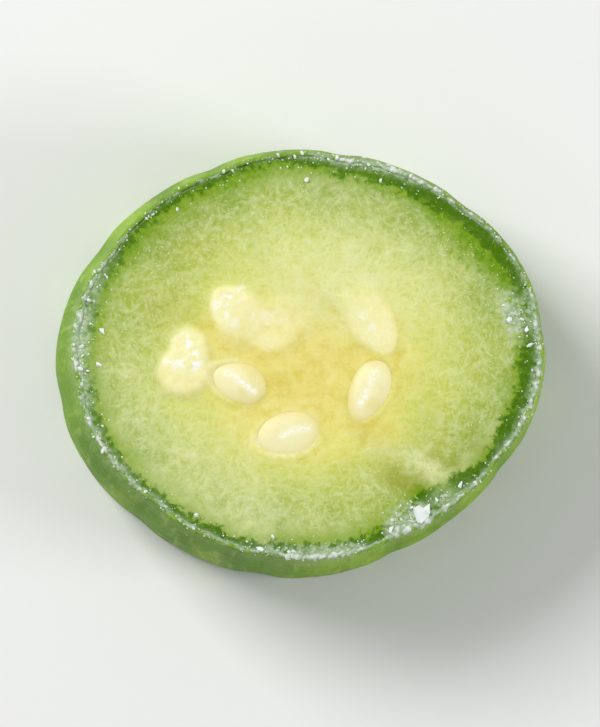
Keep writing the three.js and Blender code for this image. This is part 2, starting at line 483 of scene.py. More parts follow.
@dataclass(frozen=True)
class GourdForm:
    """The oval, leaning body of the slice. Its origin is the middle of the upper cut face's outline."""

    thickness: float = 24.0
    face_radius: float = 24.3
    waves: tuple[Wave, ...] = (Wave(2, 1.75, 3.4), Wave(4, 0.33, 2), Wave(3, 0.2, 23))
    furrows: Wave = Wave(10, 0.28, 8)
    furrow_sharpness: int = 6
    flare: float = 1.2
    bulge: float = 0.6
    lean: tuple[float, float] = (-0.9, -0.7)
    slant: tuple[float, float] = (0.018, -0.014)
    skin_proud: float = 0.12
    dome: float = 0.35
    heart: tuple[float, float] = (-0.3, -2.4)
    heart_radius: float = 11.5
    heart_depth: float = 0.55
    box_directions: int = 720
    box_levels: int = 40
    open_seeds: tuple[SeedPlace, ...] = (
        SeedPlace("left", -8.05, -3.1, 160, 7.1, 4.7, 0.55),
        SeedPlace("lower", -2.4, -9.05, 193, 7.9, 5.35, 0.5),
        SeedPlace("right", 7.15, -4.05, -116, 8.1, 4.9, 0.6),
    )
    film_seeds: tuple[SeedPlace, ...] = (
        SeedPlace("round", -13.95, -1.9, 96, 5.7, 5.8, 0.62, 0.6, 0.95),
        SeedPlace("small", -13.3, 0.6, 96, 5.2, 4.7, 0.55, 0.7, 0.92),
        SeedPlace("film_left", -8.0, 4.6, 128, 7.2, 5.5, 0.46, 0.85, 0.95, -40, 0.4),
        SeedPlace("film_middle", -3.3, 3.3, 20, 7.4, 5.5, 0.34, 1.1, 0.82, 30, 0.45),
        SeedPlace("film_right", 7.1, 3.8, -57, 8.4, 5.2, 0.46, 0.8, 1.0, 140, 0.55),
        SeedPlace("veil_lower", -2.4, -9.05, 193, 8.2, 5.65, 0.0, 0.5, 0.7),
        SeedPlace("veil_left", -8.3, -2.9, 160, 7.3, 4.9, 0.0, 0.5, 0.6, -30, 0.9),
    )
    chambers: Chambers = Chambers()

    @property
    def lower_seeds(self) -> tuple[SeedPlace, ...]:
        """The seeds of the lower cut face."""
        return self.chambers.seeds(self.lean)

    def outline(self, angle: Array) -> Array:
        """Distance from the middle of the upper face to its edge."""
        waves = sum(w.height * np.cos(w.count * (angle - math.radians(w.turn_deg))) for w in self.waves)
        return self.face_radius + waves - self.furrows.height * self.furrow(angle)

    def furrow(self, angle: Array) -> Array:
        """1 in the bottom of a furrow of the side, 0 between furrows."""
        turn = self.furrows.count * (angle - math.radians(self.furrows.turn_deg))
        return (0.5 + 0.5 * np.cos(turn)) ** self.furrow_sharpness

    def wall(self, angle: Array, height: Array, inset: Array | float = 0.0) -> Array:
        """Points on the side, or inset from it.

        Args:
            angle: The direction of each point from the middle.
            height: Its height above the lower cut.
            inset: How far in from the skin it lies.

        Returns:
            The points.
        """
        up = height / self.thickness
        radius = self.outline(angle) + self.flare * (1 - up) + self.bulge * np.sin(np.pi * up) - inset
        x = radius * np.cos(angle) + self.lean[0] * (1 - up)
        y = radius * np.sin(angle) + self.lean[1] * (1 - up)
        return np.stack([x, y, np.broadcast_to(height, x.shape)], axis=-1)

    def top_wall(self, angle: Array, inset: Array | float) -> Array:
        """Points at the height of the upper cut, inset from the side."""
        return self.wall(angle, np.full_like(angle * inset, self.thickness), inset)

    def upper_height(self, x: Array, y: Array, share: Array) -> Array:
        """Height of the upper cut, which is domed a little and sinks at its heart.

        Args:
            x: Places across the face.
            y: Places up the face.
            share: How far each place is from the middle to the skin, from 0 to 1.

        Returns:
            The heights.
        """
        away = np.hypot(x - self.heart[0], y - self.heart[1])
        heart = 1 - smooth(away, self.heart_radius / 2, self.heart_radius)
        return self.thickness - self.skin_proud + self.dome * (1 - share**2) - self.heart_depth * heart

    def upper_level(self, x: float, y: float) -> float:
        """Height of the upper cut at one place."""
        share = math.hypot(x, y) / self.face_radius
        return float(self.upper_height(np.float64(x), np.float64(y), np.float64(share)))

    def placed(self, points: Array) -> Array:
        """Slants points of the form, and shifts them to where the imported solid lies.

        Args:
            points: Points in millimetres.

        Returns:
            The points in metres.
        """
        x, y, z = points[..., 0], points[..., 1], points[..., 2]
        z = z * (1 + (self.slant[0] * x + self.slant[1] * y) / self.thickness)
        shift = self.middle()
        return np.stack([x - shift[0], y - shift[1], z], axis=-1) * MM

    def middle(self) -> Array:
        """Finds the middle of the whole form.

        Returns:
            The middle of the form's box, seen from above.
        """
        angle = directions(self.box_directions)[None, :]
        height = np.linspace(0, self.thickness, self.box_levels)[:, None]
        wall = self.wall(angle, height).reshape(-1, 3)
        return (wall.min(axis=0) + wall.max(axis=0)) / 2


# ---- Meshes ------------------------------------------------------------------------------------------


@dataclass
class Shell:
    """Rings of points that close into a skin, with numbers carried at each point."""

    points: Array
    values: dict[str, Array] = field(default_factory=dict)
    closed_section: bool = False

    def faces(self) -> list[tuple[int, ...]]:
        """Faces between the rings, with a fan at each end, or none where the section itself closes.

        Returns:
            The corners of each face, by their place in the list of points.
        """
        rings, sectors = self.points.shape[:2]
        here = np.arange(rings * sectors).reshape(rings, sectors)
        above = np.roll(here, -1, axis=0) if self.closed_section else here[1:]
        below = here if self.closed_section else here[:-1]
        quads = np.stack([below, np.roll(below, -1, axis=1), np.roll(above, -1, axis=1), above], axis=-1)
        faces = [tuple(quad) for quad in quads.reshape(-1, 4).tolist()]
        if not self.closed_section:
            first, last = rings * sectors, rings * sectors + 1
            for side in range(sectors):
                following = (side + 1) % sectors
                faces.append((first, following, side))
                faces.append((last, int(here[-1, side]), int(here[-1, following])))
        return faces

    def mesh(self, name: str) -> Piece:
        """Makes the shell a smooth mesh, with its numbers as attributes.

        Args:
            name: The object's name.

        Returns:
            The object, at the origin of the scene.
        """
        ends = [] if self.closed_section else [self.points[0].mean(axis=0), self.points[-1].mean(axis=0)]
        data = bpy.data.meshes.new(name)
        data.from_pydata(np.vstack([self.points.reshape(-1, 3), *ends]).tolist(), [], self.faces())
        for key, value in self.values.items():
            numbers = value.reshape(-1)
            if not self.closed_section:
                numbers = np.concatenate([numbers, [value[0].mean()], [value[-1].mean()]])
            data.attributes.new(key, "FLOAT", "POINT").data.foreach_set("value", numbers.astype(np.float32))
        data.shade_smooth()
        return added(name, data)


def added(name: str, data: bpy.types.ID) -> Piece:
    """Puts new data in the scene.

    Args:
        name: The object's name.
        data: The mesh, lamp or camera that it holds.

    Returns:
        The object, at the origin.
    """
    piece = bpy.data.objects.new(name, data)
    bpy.context.scene.collection.objects.link(piece)
    return piece


def dress(piece: Piece, material: Material) -> Piece:
    """Gives a piece its only material.

    Args:
        piece: A mesh.
        material: Its finish.

    Returns:
        The piece.
    """
    piece.data.materials.clear()
    piece.data.materials.append(material)
    return piece


def settle(piece: Piece, slot: Slot, stands_for: str | None = None) -> Piece:
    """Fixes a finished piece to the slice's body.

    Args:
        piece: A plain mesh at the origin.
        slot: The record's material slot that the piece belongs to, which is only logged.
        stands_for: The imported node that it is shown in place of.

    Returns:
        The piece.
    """
    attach(piece, BODY)
    if stands_for:
        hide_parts(stands_for)
    LOG.info("%s: %d faces, slot %s", piece.name, len(piece.data.polygons), slot.value)
    return piece


# ---- Geometry trees ----------------------------------------------------------------------------------


@dataclass(frozen=True)
class Roughness:
    """Noise that roughens a surface: its height in millimetres, its waves to the metre and its seed."""

    height: float
    waves: float
    seed: float

    def inputs(self) -> dict[str, float]:
        """The noise as a geometry tree's inputs."""
        return {"Height": self.height * MM, "Waves": self.waves, "Seed": self.seed}


class GeometryTree(Graph):
    """A geometry tree with named inputs, which makes a plain mesh out of a host mesh."""

    TITLE: ClassVar[str] = "geometry_tree"
    KINDS: ClassVar[dict[str, str]] = {}

    def __init__(self) -> None:
        """Builds the tree once, for any number of hosts."""
        super().__init__(bpy.data.node_groups.new(self.TITLE, "GeometryNodeTree"))
        self.tree.interface.new_socket("Made", in_out="OUTPUT", socket_type="NodeSocketGeometry")
        self.sockets: dict[str, str] = {}
        for name, kind in {"Host": "Geometry", "Finish": "Material", **self.KINDS}.items():
            socket = self.tree.interface.new_socket(name, in_out="INPUT", socket_type=f"NodeSocket{kind}")
            self.sockets[name] = socket.identifier
        self.entry = self.add("NodeGroupInput")
        self.build()

    def build(self) -> None:
        """Fills the tree."""
        raise NotImplementedError

    def given(self, name: str) -> Signal:
        """The named input inside the tree."""
        return Signal(self, self.entry.outputs[name])

    def place(self) -> Signal:
        """Where each point of the host lies."""
        return self.make("GeometryNodeInputPosition")

    def carried(self, name: Signal | str) -> Signal:
        """A number that the host carries at its points."""
        return self.make("GeometryNodeInputNamedAttribute", {"Name": name}, data_type="FLOAT")

    def noise(self, place: Signal, detail: float, roughness: float) -> Signal:
        """Noise with the tree's own waves and seed.

        Args:
            place: Where the noise is read.
            detail: How many finer waves are laid over the first.
            roughness: How strong the finer waves are.

        Returns:
            The noise, centred on zero.
        """
        inputs = {"Vector": place, "W": self.given("Seed"), "Scale": self.given("Waves")}
        inputs |= {"Detail": detail, "Roughness": roughness}
        return self.make("ShaderNodeTexNoise", inputs, noise_dimensions="4D") - 0.5

    def raised(self, height: Signal) -> Signal:
        """The host with its points moved this far along their normals."""
        lift = self.vector("SCALE", {0: self.make("GeometryNodeInputNormal"), "Scale": height})
        return self.make("GeometryNodeSetPosition", {"Geometry": self.given("Host"), "Offset": lift})

    def end(self, geometry: Signal) -> None:
        """Ends the tree: instances are made real, and the result is given its finish and sent out.

        Args:
            geometry: What the tree has made.
        """
        real = self.make("GeometryNodeRealizeInstances", {"Geometry": geometry})
        finish = {"Geometry": real, "Material": self.given("Finish")}
        self.add("NodeGroupOutput", {"Made": self.make("GeometryNodeSetMaterial", finish)})

    def grow(self, host: Piece, name: str, material: Material, **values: object) -> Piece:
        """Runs the tree on a host.

        Args:
            host: The mesh that the tree reads, which stays as it is.
            name: The name of what is made.
            material: Its finish.
            **values: A value for each named input.

        Returns:
            A new object at the origin, holding the result as a plain mesh.
        """
        modifier = host.modifiers.new(self.TITLE, "NODES")
        modifier.node_group = self.tree
        for key, value in {"Finish": material, **values}.items():
            modifier[self.sockets[key]] = value
        depsgraph = bpy.context.evaluated_depsgraph_get()
        data = bpy.data.meshes.new_from_object(host.evaluated_get(depsgraph), depsgraph=depsgraph)
        host.modifiers.remove(modifier)
        data.name = name
        return added(name, data)

    def reshape(self, blank: Piece, name: str, material: Material, **values: object) -> Piece:
        """Runs the tree on a blank, and puts what is made in its place.

        Args:
            blank: The mesh that the tree reads, which is used up.
            name: The name of what is made.
            material: Its finish.
            **values: A value for each named input.

        Returns:
            The new object.
        """
        made = self.grow(blank, name, material, **values)
        bpy.data.objects.remove(blank)
        return made


class Relief(GeometryTree):
    """Raises a surface along its normals by noise, where the surface's relief value allows it."""

    TITLE = "surface_relief"
    KINDS = {"Height": "Float", "Waves": "Float", "Stretch": "Vector", "Seed": "Float"}

    def build(self) -> None:
        """Noise over a stretched place, times the height and the relief value."""
        stretched = self.vector("MULTIPLY", {0: self.place(), 1: self.given("Stretch")})
        height = self.noise(stretched, detail=4.0, roughness=0.55) * self.given("Height")
        self.end(self.raised(height * self.carried("relief")))


class Crust(GeometryTree):
    """Heaps a sheet of ice into lumps, and sinks it out of sight where the host's frost value is low."""

    TITLE = "ice_crust"
    KINDS = {"Height": "Float", "Waves": "Float", "Seed": "Float"}
    CELLS_TO_A_WAVE = 2.4
    FROST_GAIN, FROST_NEEDED = 1.5, 0.5
    LUMP_GAIN, CELL_GAIN = 3.0, 0.8
    DEEPEST, HIGHEST = -0.6, 0.9

    def build(self) -> None:
        """Frost value, broad noise and small cells, held between a deepest and a highest level."""
        place = self.place()
        lumps = self.noise(place, detail=6.0, roughness=0.68)
        small = {"Vector": place, "Scale": self.given("Waves") * self.CELLS_TO_A_WAVE, "Randomness": 1.0}
        cells = self.make("ShaderNodeTexVoronoi", small)
        level = self.carried("frost") * self.FROST_GAIN - self.FROST_NEEDED
        level = level + lumps * self.LUMP_GAIN - cells * self.CELL_GAIN
        held = self.make("ShaderNodeClamp", {"Value": level, "Min": self.DEEPEST, "Max": self.HIGHEST})
        raised = self.raised(held * self.given("Height") * self.carried("relief"))
        stored = {0: raised, "Name": "lift", "Value": held}
        self.end(self.make("GeometryNodeStoreNamedAttribute", stored))


class Grains(GeometryTree):
    """Scatters small faceted grains over a host, as densely as one of the host's values says."""

    TITLE = "scattered_grains"
    KINDS = {
        "Value": "String",
        "Density": "Float",
        "Smallest": "Vector",
        "Largest": "Vector",
        "Flat": "Bool",
        "Seed": "Int",
    }
    MOSTLY_SMALL = 2.5
    ANY_WAY = (math.tau,) * 3
    NEARLY_FLAT = (0.15, 0.15, math.tau)

    def build(self) -> None:
        """Points on the faces, and a turned and stretched faceted grain on each."""
        amount = self.carried(self.given("Value")) * self.given("Density")
        scatter = {"Mesh": self.given("Host"), "Density": amount, "Seed": self.given("Seed")}
        points = self.add("GeometryNodeDistributePointsOnFaces", scatter)
        seed = {"Seed": self.given("Seed")}
        share = self.make("FunctionNodeRandomValue", seed, output=1, data_type="FLOAT")
        sizes = {MIX_SHARE: self.math("POWER", share, self.MOSTLY_SMALL)}
        sizes |= {MIX_VECTOR_A: self.given("Smallest"), MIX_VECTOR_B: self.given("Largest")}
        size = self.make("ShaderNodeMix", sizes, MIX_VECTOR, data_type="VECTOR")
        tilted = {0: Signal(self, points.outputs["Rotation"]), 1: self.random_turn(self.NEARLY_FLAT)}
        lying = self.make("FunctionNodeRotateRotation", tilted, rotation_space="LOCAL")
        turn = self.chosen("ROTATION", self.random_turn(self.ANY_WAY), lying)
        lump = self.make("GeometryNodeMeshIcoSphere", {"Radius": 1.0, "Subdivisions": 1})
        sliver = self.make("GeometryNodeMeshUVSphere", {"Segments": 4, "Rings": 2, "Radius": 1.0})
        facets = {"Geometry": self.chosen("GEOMETRY", lump, sliver), "Shade Smooth": False}
        grain = self.make("GeometryNodeSetShadeSmooth", facets)
        copies = {"Points": Signal(self, points.outputs[0]), "Instance": grain}
        copies |= {"Rotation": turn, "Scale": size}
        self.end(self.make("GeometryNodeInstanceOnPoints", copies))

    def chosen(self, kind: str, lump: Signal, flat: Signal) -> Signal:
        """The signal for a flat grain or for a lump, as the Flat input says."""
        return self.make("GeometryNodeSwitch", {0: self.given("Flat"), 1: lump, 2: flat}, input_type=kind)

    def random_turn(self, most: Triple) -> Signal:
        """A seeded turn about each axis, from nothing to this much."""
        inputs = {1: most, "Seed": self.given("Seed")}
        return self.make("FunctionNodeRandomValue", inputs, data_type="FLOAT_VECTOR")


# ---- Finishes ----------------------------------------------------------------------------------------


@dataclass(frozen=True)
class Finish:
    """A named material, whose colours each kind of finish mixes in its own way."""

    name: str

    def make(self) -> Material:
        """The material."""
        canvas = Canvas(self.name)
        return canvas.finished(self.inputs(canvas))

    def inputs(self, canvas: Canvas) -> Inputs:
        """What each socket of the shader is fed with, or is set to on the socket itself."""
        raise NotImplementedError


@dataclass(frozen=True)
class Felt:
    """Threads in a finish: how many fit in a metre, how narrow, how strongly they show, how deep."""

    waves: float
    narrow: float
    strength: float
    depth: float = 0.0


@dataclass(frozen=True)
class FleshFinish(Finish):
    """Wet, half clear flesh: a yellow heart, paler green outwards, a felt of threads, a dark green edge."""

    name: str = "gourd_flesh"
    bands: tuple[tuple[float, Colour], ...] = (
        (0.0, paint(232, 214, 114)),
        (0.3, paint(233, 220, 118)),
        (0.45, paint(225, 221, 116)),
        (0.6, paint(205, 211, 101)),
        (0.75, paint(178, 192, 82)),
        (0.87, paint(147, 172, 60)),
        (1.0, paint(122, 154, 34)),
    )
    pulp: Colour = paint(242, 234, 156)
    hollow: Colour = paint(218, 200, 76)
    thread: Colour = paint(240, 245, 204)
    edge_thread: Colour = paint(146, 180, 70)
    between: Colour = paint(140, 164, 40)
    haze: Colour = paint(226, 231, 170)
    # Olive of the wet patches, some of which are painted shadow.
    wet_and_shadow: Colour = paint(150, 152, 36)
    film: Colour = paint(246, 241, 186)
    film_deep: Colour = paint(240, 230, 148)
    speckle: Colour = paint(252, 248, 204)
    gleam: Colour = paint(255, 255, 246)
    # Painted shade: a darker golden ring round each seed.
    halo: Colour = paint(226, 204, 84)
    green_edge: Colour = paint(104, 148, 0)
    deep_edge: Colour = paint(58, 104, 0)
    rime: Colour = paint(196, 212, 176)

    # Noises, from the broadest to the finest, that make every colour uneven.
    broad_grain: Grain = Grain(170.0)
    medium_grain: Grain = Grain(620.0, 4.0)
    blotch_grain: Grain = Grain(1150.0, 5.0)
    speckle_grain: Grain = Grain(1900.0, 4.0)
    fine_grain: Grain = Grain(2400.0)

    # The felt: layers of threads that lie every way and bend a little, and the relief that it makes.
    wide_felt: Felt = Felt(1150.0, 0.36, 0.27, 0.04)
    fine_felt: Felt = Felt(2500.0, 0.3, 0.3, 0.03)
    pulp_felt: Felt = Felt(620.0, 0.22, 0.56)
    felt_turns: tuple[float, ...] = (0.2, 0.75, 1.3, 1.8, 2.35, 2.9)
    felt_layer: float = 0.11
    felt_bend: float = 0.0016
    felt_bend_grain: Grain = Grain(260.0, 1.0)
    felt_threads: Ramp = Ramp(0.54, 0.84)
    medium_depth: float = 0.06
    fine_depth: float = 0.02
    film_smooths: float = 0.9

    # The film over covered seeds, its glints, and rime on the edge.
    film_ragged: Ramp = Ramp(0.25, 0.75, -0.12, 0.12)
    film_fade: Ramp = Ramp(0.02, 0.98, 0.0, 0.9)
    film_blotches: Ramp = Ramp(0.38, 0.62, 0.0, 0.5)
    film_speckles: Ramp = Ramp(0.42, 0.78, 0.0, 0.65)
    glint_broken: Ramp = Ramp(0.46, 0.58)
    rime_speckles: Ramp = Ramp(0.4, 0.62, 0.0, 0.65)
    rime_patches: Ramp = Ramp(0.35, 0.6, 0.0, 0.55)
    rime_from_frost: Ramp = Ramp(0.1, 0.6)
    roughness: Ramp = Ramp(0.3, 0.7, 0.34, 0.5)

    # The flesh's own colour, from its heart to its green edge.
    core_uneven: Ramp = Ramp(0.2, 0.8, -0.05, 0.05)
    heart_end: Ramp = Ramp(0.6, 0.35)
    hollows: Ramp = Ramp(0.54, 0.34, 0.0, 0.62)
    # How far the painted shade round each seed reaches.
    seed_shade_reach: Ramp = Ramp(1.6, 0.1, 0.0, 0.12)
    haze_uneven: Ramp = Ramp(0.25, 0.7, 0.4, 0.85)
    wet_and_shadow_uneven: Ramp = Ramp(0.2, 0.8, 0.85, 0.45)
    edge_blotches: Ramp = Ramp(0.3, 0.7, -0.5, 0.5)
    edge_speckles: Ramp = Ramp(0.3, 0.7, -0.25, 0.25)
    green_fade: Ramp = Ramp(1.3, 0.0)
    green_shade: Ramp = Ramp(0.0, 1.0, 0.45, 0.95)
    deep_fade: Ramp = Ramp(0.7, 0.0, 0.0, 0.92)

    # Where the felt shows, and what tints it.
    felt_outwards: Ramp = Ramp(0.25, 0.8, 0.3, 1.0)
    felt_where_wet: Ramp = Ramp(0.0, 1.0, 1.0, 0.3)
    felt_in_green: Ramp = Ramp(0.2, 1.4, 0.5, 1.0)
    felt_gaps: Ramp = Ramp(0.25, 0.0, 0.0, 0.16)
    felt_grains: Ramp = Ramp(0.45, 0.7, 0.0, 0.16)
    tint_by_rim: Ramp = Ramp(4.5, 1.5)
    tint_by_green: Ramp = Ramp(1.6, 0.4)

    def inputs(self, canvas: Canvas) -> Inputs:
        """Flesh with its felt, the film over covered seeds, glints and rime.

        Args:
            canvas: The finish's tree.

        Returns:
            The shader's inputs.
        """
        medium, fine = canvas.noise(self.medium_grain), canvas.noise(self.fine_grain)
        speckle, blotch = canvas.noise(self.speckle_grain), canvas.noise(self.blotch_grain)
        wide_felt, fine_felt = self.felt(canvas, self.wide_felt), self.felt(canvas, self.fine_felt)
        film = (canvas.carried("film") + medium.ramp(self.film_ragged)).ramp(self.film_fade)
        colour = self.felted(canvas, self.grown(canvas), wide_felt, fine_felt, film)
        cloudy = canvas.blend(blotch.ramp(self.film_blotches), self.film, self.film_deep)
        cloudy = canvas.blend(speckle.ramp(self.film_speckles), cloudy, self.speckle)
        colour = canvas.blend(film, colour, cloudy)
        glint = canvas.carried("glint") * blotch.ramp(self.glint_broken)
        colour = canvas.blend(glint, colour, self.gleam)
        patchy = speckle.ramp(self.rime_speckles) + medium.ramp(self.rime_patches)
        rime = canvas.carried("frost").ramp(self.rime_from_frost) * patchy
        bare = 1.0 - film * self.film_smooths
        normal = canvas.bump(
            (medium, self.medium_depth),
            (wide_felt * bare, self.wide_felt.depth),
            (fine_felt * bare, self.fine_felt.depth),
            (fine, self.fine_depth),
        )
        return {
            "Base Color": canvas.blend(rime, colour, self.rime),
            "Roughness": fine.ramp(self.roughness),
            "Normal": normal,
            "Subsurface Weight": 0.4,
            "Subsurface Radius": (1.0, 0.8, 0.3),
            "Subsurface Scale": 0.0015,
            "Specular IOR Level": 0.12,
            "IOR": 1.36,
            "Coat Weight": 0.05,
            "Coat Roughness": 0.2,
            "Coat IOR": 1.33,
        }

    def grown(self, canvas: Canvas) -> Signal:
        """Mixes the flesh's own colour from its heart to its edge, with painted shade round the seeds and
        painted shadow among the wet patches.

        Args:
            canvas: The finish's tree.

        Returns:
            The colour before its felt and film.
        """
        medium, core = canvas.noise(self.medium_grain), canvas.carried("core")
        uneven = core + canvas.noise(self.broad_grain).ramp(self.core_uneven)
        colour = canvas.banded(uneven, self.bands)
        heart = core.ramp(self.heart_end)
        colour = canvas.blend(medium.ramp(self.hollows) * heart, colour, self.hollow)
        strands = self.felt(canvas, self.pulp_felt) * self.pulp_felt.strength * heart
        colour = canvas.blend(strands, colour, self.pulp)
        # Painted shade round each seed, where the flesh meets it.
        colour = canvas.blend(canvas.carried("seed").ramp(self.seed_shade_reach), colour, self.halo)
        hazy = canvas.carried("haze") * medium.ramp(self.haze_uneven)
        colour = canvas.blend(hazy, colour, self.haze)
        # Wet patches, with painted shadow among them.
        wet_and_shadow = canvas.carried("wet_and_shadow") * medium.ramp(self.wet_and_shadow_uneven)
        colour = canvas.blend(wet_and_shadow, colour, self.wet_and_shadow)
        speckles = canvas.noise(self.speckle_grain).ramp(self.edge_speckles)
        ragged = canvas.noise(self.blotch_grain).ramp(self.edge_blotches) + speckles
        shade = canvas.carried("shade")
        green = (canvas.carried("green") + ragged).ramp(self.green_fade) * shade.ramp(self.green_shade)
        deep = (canvas.carried("dark") + ragged).ramp(self.deep_fade) * shade
        return canvas.blend(deep, canvas.blend(green, colour, self.green_edge), self.deep_edge)

    def felted(self, canvas: Canvas, colour: Signal, wide: Signal, fine: Signal, film: Signal) -> Signal:
        """The colour with its pale threads, and darker flesh between them.

        Args:
            canvas: The finish's tree.
            colour: The flesh's own colour.
            wide: Where the wide threads lie.
            fine: Where the fine threads lie.
            film: How thick the film over a covered seed is, which hides the threads.

        Returns:
            The colour, with threads that thin out towards the heart, where the flesh is green, and over wet
            patches and painted shadow.
        """
        outward = canvas.carried("core").ramp(self.felt_outwards)
        free = (1.0 - film) * (outward * canvas.carried("wet_and_shadow").ramp(self.felt_where_wet))
        colour = canvas.blend((wide + fine).ramp(self.felt_gaps) * free, colour, self.between)
        green = canvas.carried("green")
        free = free * green.ramp(self.felt_in_green)
        rim = canvas.carried("rim").ramp(self.tint_by_rim)
        tint = canvas.math("MAXIMUM", rim, green.ramp(self.tint_by_green))
        thread = canvas.blend(tint, self.thread, self.edge_thread)
        for felt, strength in ((wide, self.wide_felt.strength), (fine, self.fine_felt.strength)):
            colour = canvas.blend(felt * strength * free, colour, thread)
        grains = canvas.noise(self.speckle_grain).ramp(self.felt_grains)
        return canvas.blend(grains * free, colour, thread)

    def felt(self, canvas: Canvas, felt: Felt) -> Signal:
        """Short threads, nearly straight and lying every way.

        Args:
            canvas: The finish's tree.
            felt: How many threads there are, and how narrow.

        Returns:
            0 between threads, 1 on them.
        """
        grain = self.felt_bend_grain
        bend = {"Vector": canvas.place, "Scale": grain.waves, "Detail": grain.detail}
        shift = canvas.make("ShaderNodeTexNoise", bend, "Color")
        bent = canvas.vector("MULTIPLY_ADD", {0: shift, 1: (self.felt_bend,) * 3, 2: canvas.place})
        threads: Signal | float = 0.0
        for step, turn in enumerate(self.felt_turns):
            drawn = {"Vector": bent, "Rotation": (0, 0, turn), "Scale": (1 / felt.narrow, 1.0, 1.0)}
            drawn["Location"] = (0.0, 0.0, self.felt_layer * step)
            lying = canvas.make("ShaderNodeMapping", drawn, vector_type="TEXTURE")
            streaks = {"Vector": lying, "Scale": felt.waves, "Detail": 1.0}
            layer = canvas.make("ShaderNodeTexNoise", streaks).ramp(self.felt_threads)
            threads = canvas.math("MAXIMUM", threads, layer)
        return threads


@dataclass(frozen=True)
class RindFinish(Finish):
    """Green skin with lengthwise streaks, darker in the furrows, and frosted where it is cut."""

    name: str = "gourd_rind"
    dark: Colour = paint(96, 142, 14)
    green: Colour = paint(144, 184, 38)
    light: Colour = paint(178, 204, 96)
    speck: Colour = paint(196, 214, 122)
    cut: Colour = paint(112, 148, 48)
    rime: Colour = paint(192, 210, 152)

    wide_grain: Grain = Grain(120.0, 2.0, 0.12)
    streak_grain: Grain = Grain(950.0, 4.0, 0.05)
    line_grain: Grain = Grain(2300.0, 2.0, 0.03)
    mottle_grain: Grain = Grain(700.0, 4.0)
    rime_grain: Grain = Grain(1900.0, 5.0)
    speck_waves: float = 900.0
    furrow_strength: float = 0.7
    streak_depth: float = 0.12
    mottle_depth: float = 0.05

    wide_bands: Ramp = Ramp(0.35, 0.65)
    light_streaks: Ramp = Ramp(0.5, 0.7, 0.0, 0.45)
    dark_lines: Ramp = Ramp(0.56, 0.7, 0.0, 0.45)
    speck_size: Ramp = Ramp(0.22, 0.08)
    speck_patches: Ramp = Ramp(0.52, 0.64, 0.0, 0.25)
    cut_uneven: Ramp = Ramp(0.35, 0.65, 0.35, 0.9)
    rime_grains: Ramp = Ramp(0.42, 0.6, 0.1, 0.8)
    rime_patches: Ramp = Ramp(0.4, 0.7, 0.0, 0.4)
    roughness: Ramp = Ramp(0.3, 0.7, 0.34, 0.5)

    def inputs(self, canvas: Canvas) -> Inputs:
        """Bands, streaks and specks, then the cut edge and the rime below it.

        Args:
            canvas: The finish's tree.

        Returns:
            The shader's inputs.
        """
        streaks, mottle = canvas.noise(self.streak_grain), canvas.noise(self.mottle_grain)
        colour = canvas.blend(canvas.noise(self.wide_grain).ramp(self.wide_bands), self.dark, self.green)
        colour = canvas.blend(streaks.ramp(self.light_streaks), colour, self.light)
        colour = canvas.blend(canvas.noise(self.line_grain).ramp(self.dark_lines), colour, self.dark)
        colour = canvas.blend(canvas.carried("furrow") * self.furrow_strength, colour, self.dark)
        dots = canvas.make("ShaderNodeTexVoronoi", {"Vector": canvas.place, "Scale": self.speck_waves})
        specks = dots.ramp(self.speck_size) * mottle.ramp(self.speck_patches)
        colour = canvas.blend(specks, colour, self.speck)
        colour = canvas.blend(canvas.carried("lip") * mottle.ramp(self.cut_uneven), colour, self.cut)
        patchy = canvas.noise(self.rime_grain).ramp(self.rime_grains) + mottle.ramp(self.rime_patches)
        colour = canvas.blend(canvas.carried("rime") * patchy, colour, self.rime)
        return {
            "Base Color": colour,
            "Roughness": mottle.ramp(self.roughness),
            "Normal": canvas.bump((streaks, self.streak_depth), (mottle, self.mottle_depth)),
            "Subsurface Weight": 0.15,
            "Subsurface Radius": (0.8, 1.0, 0.2),
            "Subsurface Scale": 0.0015,
            "Specular IOR Level": 0.03,
            "IOR": 1.4,
        }


@dataclass(frozen=True)
class SeedFinish(Finish):
    """Smooth, soft, cream seed coat, a little warmer towards its edge."""

    name: str = "gourd_seed"
    crown: Colour = paint(243, 236, 182)
    edge: Colour = paint(241, 227, 150)
    vein: Colour = paint(236, 222, 146)
    gleam: Colour = paint(255, 254, 240)

    mottle_grain: Grain = Grain(520.0, 4.0)
    fine_grain: Grain = Grain(2600.0)
    mottle_depth: float = 0.1
    fine_depth: float = 0.02
    crown_reach: Ramp = Ramp(0.35, 0.95)
    veins: Ramp = Ramp(0.48, 0.7, 0.0, 0.6)
    glint_broken: Ramp = Ramp(0.38, 0.56, 0.2, 1.0)
    roughness: Ramp = Ramp(0.3, 0.7, 0.38, 0.5)

    def inputs(self, canvas: Canvas) -> Inputs:
        """A crown, faint veins and glints.

        Args:
            canvas: The finish's tree.

        Returns:
            The shader's inputs.
        """
        mottle, fine = canvas.noise(self.mottle_grain), canvas.noise(self.fine_grain)
        colour = canvas.blend(canvas.carried("crown").ramp(self.crown_reach), self.edge, self.crown)
        colour = canvas.blend(mottle.ramp(self.veins), colour, self.vein)
        colour = canvas.blend(canvas.carried("glint") * fine.ramp(self.glint_broken), colour, self.gleam)
        return {
            "Base Color": colour,
            "Roughness": fine.ramp(self.roughness),
            "Normal": canvas.bump((mottle, self.mottle_depth), (fine, self.fine_depth)),
            "Subsurface Weight": 0.08,
            "Subsurface Radius": (1.0, 0.85, 0.6),
            "Subsurface Scale": 0.0012,
            "Specular IOR Level": 0.3,
            "IOR": 1.38,
            "Coat Weight": 0.15,
            "Coat Roughness": 0.25,
        }


